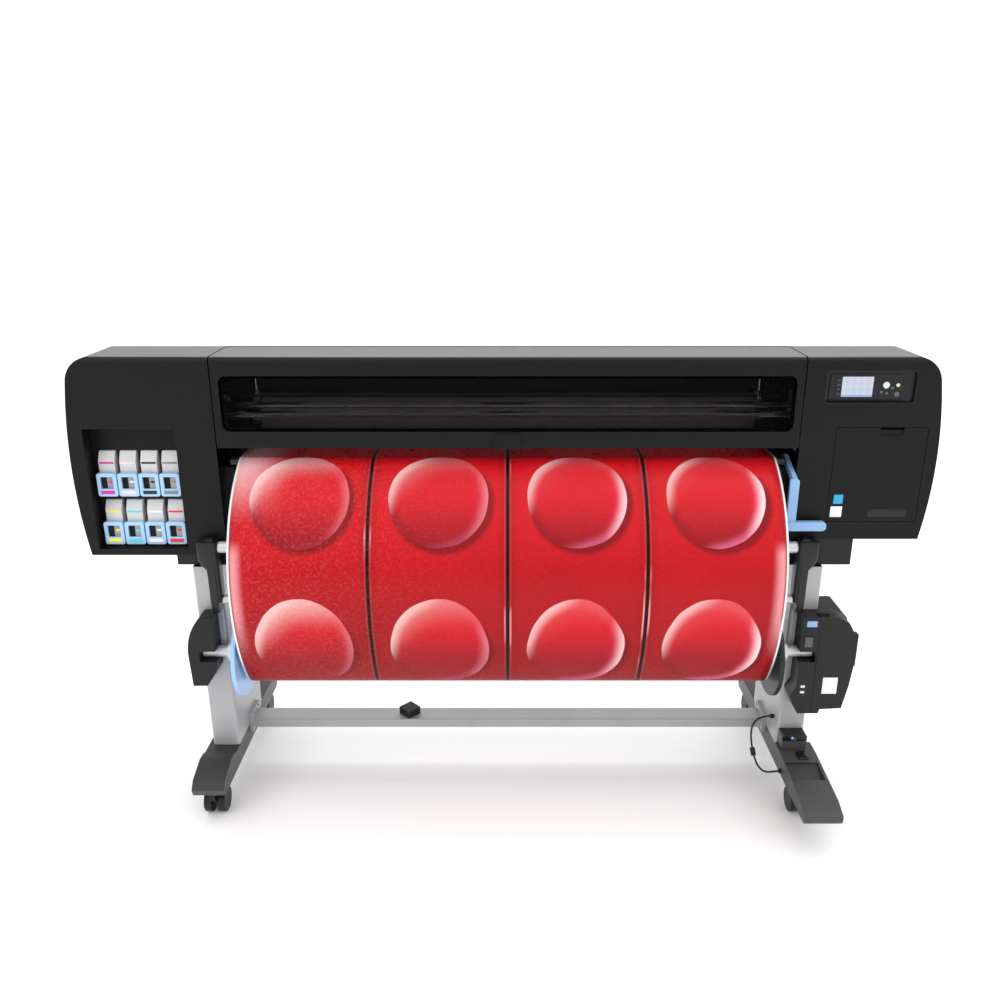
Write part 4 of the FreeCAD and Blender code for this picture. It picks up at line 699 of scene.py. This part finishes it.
# The print's measures: panels' width, the gap between rows of discs, the first row's place, the
# discs' radius, and where the plain margin at each side ends.
PITCH, ROW_GAP, ROW_PLACE, DISC, MARGIN = 0.381, 0.448, 0.161, 0.138, (0.0052, 0.0058)
# Reds of the panels and discs, lit above and shaded below: for the panels a painted shade, for the discs
# their printed slope and a painted shade.
PANEL_SHADED_BELOW, PANEL_LIT_ABOVE, PANEL_SHADE = (0.29, 0.006, 0.009), (0.58, 0.007, 0.013), (0.22, 0.005, 0.008)
DISC_SHADED_BELOW, DISC_LIT_ABOVE, DISC_SHADE = (0.30, 0.007, 0.012), (0.62, 0.010, 0.020), (0.25, 0.005, 0.01)


def printed_panels_and_painted_light():
    """Print of padded red panels: dark seams each quarter of the width, and two rows of raised
    discs. A disc's shade is its slope, taken from how far a point is from the disc's centre, met
    with a light from one side; the panels darken towards the seams. Painted light lies over the
    print: a painted shade that darkens the web downwards where it curves under, and painted sheens."""
    made = bpy.data.materials.new("printed_vinyl_and_painted_light")
    made.use_nodes = True
    skin = made.node_tree.nodes["Principled BSDF"]
    add, link = made.node_tree.nodes.new, made.node_tree.links.new
    brush = Painter(made)
    ramp, blend, times, plus, minus = brush.ramp, brush.blend, brush.times, brush.plus, brush.minus
    spot, parts = add("ShaderNodeUVMap"), add("ShaderNodeSeparateXYZ")
    spot.uv_map = "lengths"
    link(spot.outputs[0], parts.inputs[0])
    across_web, along = parts.outputs[0], parts.outputs[1]

    def cloud(scale, detail=2, distortion=0):
        """Noise on the web's two lengths."""
        noise = add("ShaderNodeTexNoise")
        noise.inputs["Scale"].default_value = scale
        noise.inputs["Detail"].default_value = detail
        noise.inputs["Distortion"].default_value = distortion
        link(spot.outputs[0], noise.inputs["Vector"])
        return noise.outputs["Fac"]

    def from_centre(way, gap):
        """How far a point is from the middle of its own panel or row: the gap's fraction, centred."""
        return times(minus(brush.sum("FRACT", brush.sum("DIVIDE", way, gap)), 0.5), gap)

    from_middle = from_centre(across_web, PITCH)
    from_row = from_centre(plus(along, ROW_PLACE + ROW_GAP / 2), ROW_GAP)
    # Discs are a little out of round, and each differs by where its panel and row are.
    bent = times(minus(cloud(5), 0.5), 0.016)
    far = plus(bent, brush.apart(from_middle, times(from_row, ramp(along, 0.0, 0.1, 0.84, 0.95))))
    part = brush.sum("DIVIDE", far, DISC)
    inside = ramp(far, DISC - 0.0016, DISC + 0.0008, 1, 0)
    rim = times(ramp(part, 0.74, 0.99), inside)
    east, north = brush.sum("DIVIDE", from_middle, DISC), brush.sum("DIVIDE", from_row, DISC)

    def towards(right, up):
        """How far a point of a disc lies in a direction: its two parts times the direction's."""
        return plus(times(east, right), times(north, up))

    # Panels: bright red above and deeper below, a painted shade where the web curves under; darker towards
    # the seams.
    height = plus(along, times(minus(cloud(3.2, 3), 0.5), 0.22))
    red = blend(PANEL_SHADED_BELOW, PANEL_LIT_ABOVE, ramp(height, -0.30, 0.42))
    to_seam = minus(PITCH / 2, brush.sum("ABSOLUTE", from_middle))
    red = blend(red, PANEL_SHADE, ramp(to_seam, 0.0, 0.035, 0.5, 0.0))
    # Cast shade below and to the right of each disc, then the disc itself.
    from_shade = brush.apart(minus(from_middle, 0.012), plus(from_row, 0.017))
    shade = ramp(from_shade, DISC - 0.006, DISC + 0.014, 0.85, 0)
    red = blend(red, (0.17, 0.004, 0.006), shade)
    # A disc's tone follows its printed slope and, as painted shade, the web's height.
    dome = blend(DISC_SHADED_BELOW, DISC_LIT_ABOVE, ramp(plus(north, times(height, 1.2)), -0.9, 0.75))
    dome = blend(dome, DISC_SHADE, times(rim, ramp(towards(0.45, 0.9), -0.25, -0.8, 0, 0.8)))
    upper_left = ramp(towards(-0.85, 0.55), 0.50, 0.98)
    right = ramp(towards(0.97, -0.12), 0.55, 0.98)
    lower_right = ramp(towards(0.4, -0.9), 0.72, 1.0)
    pink = times(rim, ramp(towards(0.5, 1.0), -0.5, 0.9))
    dome = blend(dome, (0.75, 0.13, 0.15), times(pink, 0.3))
    # The left panels catch a broad soft light on the upper left of each disc.
    broad = times(ramp(part, 0.25, 1.0), ramp(towards(-0.35, 0.85), 0.1, 0.95))
    dome = blend(dome, (0.78, 0.46, 0.44), times(broad, ramp(across_web, -0.75, 0.1, 0.85, 0.1)))
    # The lights from the right grow stronger from panel to panel.
    glow = times(ramp(part, 0.5, 0.9), times(right, ramp(across_web, -0.3, 0.6, 0.06, 0.6)))
    dome = blend(dome, (0.80, 0.035, 0.16), glow)
    dome = blend(dome, (0.82, 0.52, 0.50), times(rim, times(upper_left, 0.8)))
    dome = blend(dome, (0.84, 0.66, 0.66), times(ramp(across_web, -0.2, 0.6, 0.12, 1.0), times(rim, right)))
    low_glow = times(rim, times(lower_right, ramp(across_web, -0.5, 0.6, 0.05, 0.5)))
    dome = blend(dome, (0.85, 0.2, 0.36), low_glow)
    red = blend(red, dome, inside)
    # Seams: a black line with a fine light welt on each side, which comes and goes.
    welt = times(ramp(to_seam, 0.0052, 0.0062), ramp(to_seam, 0.0075, 0.012, 1, 0))
    red = blend(red, (0.9, 0.42, 0.42), times(welt, ramp(cloud(4), 0.54, 0.7, 0.06, 0.75)))
    red = blend(red, (0.004, 0.001, 0.001), ramp(to_seam, 0.0034, 0.0050, 1, 0))
    # Painted highlights: a soft sheen at the upper left and one low down at both outer edges; then the
    # unprinted margin.
    edge = minus(WEB_HALF, brush.sum("ABSOLUTE", across_web))
    left_sheen = times(ramp(across_web, -0.752, -0.60, 1, 0), ramp(along, 0.20, 0.43))
    red = blend(red, (0.95, 0.62, 0.64), times(left_sheen, 0.75))
    low_sheen = times(ramp(edge, 0.006, 0.012), ramp(edge, 0.014, 0.045, 1, 0))
    low_sheen = times(low_sheen, times(ramp(along, 0.17, 0.12), ramp(along, -0.22, -0.02)))
    red = blend(red, (0.92, 0.4, 0.44), times(low_sheen, 0.7))
    red = blend(red, (0.86, 0.86, 0.86), ramp(edge, *MARGIN, 1, 0))
    # Leather wrinkles: fine crooked lines, palest where the left side catches the light.
    crease, printed = cloud(125, 3, 0.8), ramp(edge, *MARGIN)
    light_line = times(ramp(crease, 0.50, 0.64), ramp(across_web, -0.75, 0.0, 0.06, 0.01))
    dark_line = times(ramp(crease, 0.5, 0.38), ramp(across_web, -0.75, 0.3, 0.10, 0.03))
    red = blend(red, (0.85, 0.45, 0.45), times(light_line, printed))
    red = blend(red, (0.16, 0.003, 0.005), times(dark_line, printed))
    link(red, skin.inputs["Base Color"])
    # The printed leather's fine wrinkles show in the gloss as well as in the tone.
    ripple = cloud(75, 4, 1.2)
    wrinkle, bump = add("ShaderNodeTexVoronoi"), add("ShaderNodeBump")
    wrinkle.inputs["Scale"].default_value = 420
    link(spot.outputs[0], wrinkle.inputs["Vector"])
    bump.inputs["Strength"].default_value, bump.inputs["Distance"].default_value = 0.12, 0.0008
    link(plus(times(wrinkle.outputs["Distance"], 0.12), ripple), bump.inputs["Height"])
    link(bump.outputs[0], skin.inputs["Normal"])
    link(ramp(ripple, 0.3, 0.7, 0.26, 0.36), skin.inputs["Roughness"])
    skin.inputs["Specular IOR Level"].default_value = 0.13
    return made


web_spots, web_reach, web_long = web_surface()
# The rows run from the back of the bed to the reel, so the faces are turned to look outwards.
web_faces = [face[::-1] for face in grid_faces(len(web_spots), WEB_LINES, round_columns=False)]
web = gridded("printed_web", web_spots, web_faces)
add_uv(web, web_reach)
MEDIA_WHITE = coated("media_white", (0.82, 0.82, 0.83), 0.45, grain=(1200, 0.1), uneven=0.03)
settle(web, printed_panels_and_painted_light(), "chassis", "media_print", ["media_web"])
web.data.materials.append(MEDIA_WHITE)
skin_back = web.modifiers.new("thickness", "SOLIDIFY")
skin_back.thickness, skin_back.offset, skin_back.material_offset = WEB_THICK, 0.0, 1
skin_back.material_offset_rim = 1
softened("supply_roll", 0.0006, MEDIA_WHITE)
softened("takeup_roll", 0.0006, MEDIA_WHITE)
softened("supply_spindle", 0.001, ROD_STEEL)


# ---------------------------------------------------------------- loop guide and take-up reel
# Silver tubes on black cast arms steer the web's loop; the take-up spindle turns in a dark support
# on the left and in the motor housing on the right, with a pale blue flange and a dark one.
ARM_BLACK = coated("arm_black", (0.011, 0.011, 0.012), 0.42, shine=0.35, grain=(1500, 0.2))


def stacked(name, levels):
    """A moulding as a stack of rounded rectangles: each level is its height and its X and Y reach."""
    loops = [np.column_stack([loop_of((x0, y0), (x1, y1), min(0.008, (x1 - x0) / 3), 5), np.full(20, z)])
             for z, x0, x1, y0, y1 in levels]
    return skinned(name, loops)


# Each arm's tube ends sit in a moulded shoulder that narrows downwards to the arm's width.
SHOULDER = [
    (0.6560, .846, .862, -.104, -.076), (0.6575, .843, .866, -.107, -.073),
    (0.700, .8415, .868, -.109, -.072), (0.735, .8415, .870, -.110, -.070),
    (0.757, .8415, .877, -.111, -.068), (0.776, .8415, .892, -.112, -.066),
    (0.790, .8415, .900, -.113, -.064), (0.842, .8415, .901, -.113, -.062),
    (0.8465, .8425, .900, -.112, -.063), (0.8485, .846, .896, -.108, -.067),
]
for side, name in ((1, "right"), (-1, "left")):
    levels = [(z, *sorted((MIDDLE + side * (x0 - MIDDLE), MIDDLE + side * (x1 - MIDDLE))), y0, y1)
              for z, x0, x1, y0, y1 in SHOULDER]
    settle(stacked(f"guide_shoulder_{name}", levels), ARM_BLACK, "chassis", "frame_black")
TUBE_SILVER = coated("tube_silver", (0.62, 0.62, 0.63), 0.34, grain=(600, 0.15), metal=0.35)
FLANGE_BLUE = coated("flange_blue", (0.32, 0.54, 0.86), 0.36, uneven=0.05)
# Each tube is its middle in Y and Z, and a radius just outside its wall.
UPPER_TUBE, LOWER_TUBE = (-0.09, 0.826, 0.0175), (-0.09, 0.662, 0.0135)


def arm_faces(centres, ways):
    """Faces within the arms' thickness at either end, less the round walls of the two tubes."""
    out = abs(centres[:, 0] - MIDDLE)
    taken = (out > 0.8415) & (out < 0.8645)
    for y, z, reach in (UPPER_TUBE, LOWER_TUBE):
        taken &= (np.hypot(centres[:, 1] - y, centres[:, 2] - z) > reach) | (abs(ways[:, 0]) < 0.5)
    return taken


softened("loop_guide", 0.001, TUBE_SILVER, [(ARM_BLACK, arm_faces)])
softened("takeup_spindle", 0.001, TUBE_SILVER, [
    (FLANGE_BLUE, lambda c, w: (c[:, 0] < -0.76) & (c[:, 0] > -0.7905)),
    (ARM_BLACK, lambda c, w: (c[:, 0] > 0.785) & (c[:, 0] < 0.8145))])
SUPPORT = coated("support_grey", (0.0085, 0.0085, 0.009), 0.42, shine=0.28, grain=(1500, 0.25))
softened("takeup_idle_support", 0.002, SUPPORT)
softened("takeup_motor_housing", 0.003, SUPPORT, rolls=3)
softened("takeup_rocker", 0.002, LEVER_BLUE)
# On the motor housing: a blank label, a plain badge recess with two pale marks, a grey latch tab
# above them and the joint between the housing's two halves.
for name, low, high, edge, finish in (
    ("housing_label", (0.948, -0.1368, 0.374), (0.992, -0.1358, 0.428), 0.0003, STICKER_WHITE),
    ("housing_badge", (0.876, -0.1372, 0.366), (0.902, -0.1358, 0.412), 0.0005, BEZEL),
    ("housing_mark_upper", (0.884, -0.1378, 0.395), (0.896, -0.1370, 0.402), 0.0002, STICKER_WHITE),
    ("housing_mark_lower", (0.884, -0.1378, 0.376), (0.896, -0.1370, 0.383), 0.0002, STICKER_WHITE),
    ("housing_latch", (0.880, -0.1400, 0.530), (0.903, -0.1355, 0.562), 0.0012, KEY_GREY),
    ("housing_seam", (0.9215, -0.1366, 0.318), (0.9235, -0.1357, 0.585), 0.0003, SEAL),
):
    settle(pillow(name, low, high, edge, edge * 3, 4), finish, "chassis", "support_grey")


# ---------------------------------------------------------------- stand
# Two pressed steel posts in light grey and a folded crossbar with a relay box; dark cast feet
# stand on twin-wheel nylon casters, and a moulded cover hides the right foot's wiring.
def relay_box(centres, ways):
    """The crossbar's small relay box: what stands above the bar, near the box's middle in X."""
    return (abs(centres[:, 0] + 0.309) < 0.036) & (centres[:, 2] > 0.1755)


def lathe(name, profile, centre, steps):
    """A piece turned round Y: each (along, radius) of its profile swept round an axis through a
    centre, by radius times the cosine in X and the sine in Z. A radius of 0 closes at a pole."""
    along, radius = np.array(profile, float).T
    angle = np.linspace(0, 2 * np.pi, steps, endpoint=False)
    ring = np.zeros((len(along), steps, 3))
    ring[..., 0] = radius[:, None] * np.cos(angle)
    ring[..., 1] = along[:, None]
    ring[..., 2] = radius[:, None] * np.sin(angle)
    return placed(name, ring + np.array(centre), grid_faces(len(profile), steps))


STAND = coated("stand_grey", (0.40, 0.395, 0.41), 0.4, grain=(1500, 0.25), metal=0.25)
softened("legs", 0.003, STAND, rolls=3)
softened("crossbar", 0.002, STAND, [(FRAME_BLACK, relay_box)])
FOOT = coated("foot_dark", (0.026, 0.026, 0.0275), 0.46, shine=0.35, grain=(1600, 0.3))
FOOT_SIDE = coated("foot_side", (0.055, 0.055, 0.057), 0.42, shine=0.35, grain=(1600, 0.3))
FOOT_COVER = coated("foot_cover_grey", (0.05, 0.05, 0.052), 0.44, shine=0.35, grain=(1600, 0.25))
SENSOR_GREY = coated("sensor_grey", (0.05, 0.05, 0.053), 0.42, shine=0.35, grain=(1500, 0.2))
softened("feet", 0.003, FOOT_SIDE, [(FOOT, lambda c, w: w[:, 2] > 0.5)], rolls=3)
SOCKET = [(0.158, .892, .928, -.168, -.128), (0.1680, .892, .928, -.168, -.128),
          (0.1705, .8935, .9265, -.1665, -.1295), (0.1715, .896, .924, -.164, -.132)]
settle(stacked("foot_socket", SOCKET), BEZEL, "chassis", "foot_black")
softened("foot_cover", 0.003, FOOT_COVER, rolls=3)
softened("loop_sensor", 0.0012, SENSOR_GREY, [(BEZEL, lambda c, w: (c[:, 2] > 0.2165) | (c[:, 2] < 0.14))])
sensor_band = pillow("sensor_band", (0.8535, -0.1200, 0.1985), (0.9285, -0.1188, 0.2165), 0.0004, 0.001, 3)
settle(sensor_band, BEZEL, "chassis", "sensor_grey")
# The sensor's lens is a low dome on a flat back.
DOT_BACK, DOT_WIDE, DOT_RISE = -0.1195, 0.005, 0.0022
dome_line = [(DOT_BACK - DOT_RISE * np.cos(a), DOT_WIDE * np.sin(a)) for a in np.linspace(np.pi / 2, 0, 8)]
sensor_dot = lathe("sensor_dot", [(DOT_BACK, 0), (DOT_BACK, DOT_WIDE)] + dome_line, (0.884, 0, 0.2085), 24)
settle(sensor_dot, LEVER_BLUE, "chassis", "sensor_grey")
CASTER = coated("caster_nylon", (0.009, 0.009, 0.0095), 0.45, shine=0.3, grain=(1600, 0.25))
for corner in ("front_left", "rear_left", "front_right", "rear_right"):
    softened(f"caster_fork_{corner}", 0.002, CASTER)
    softened(f"caster_wheel_{corner}", 0.0015, CASTER)
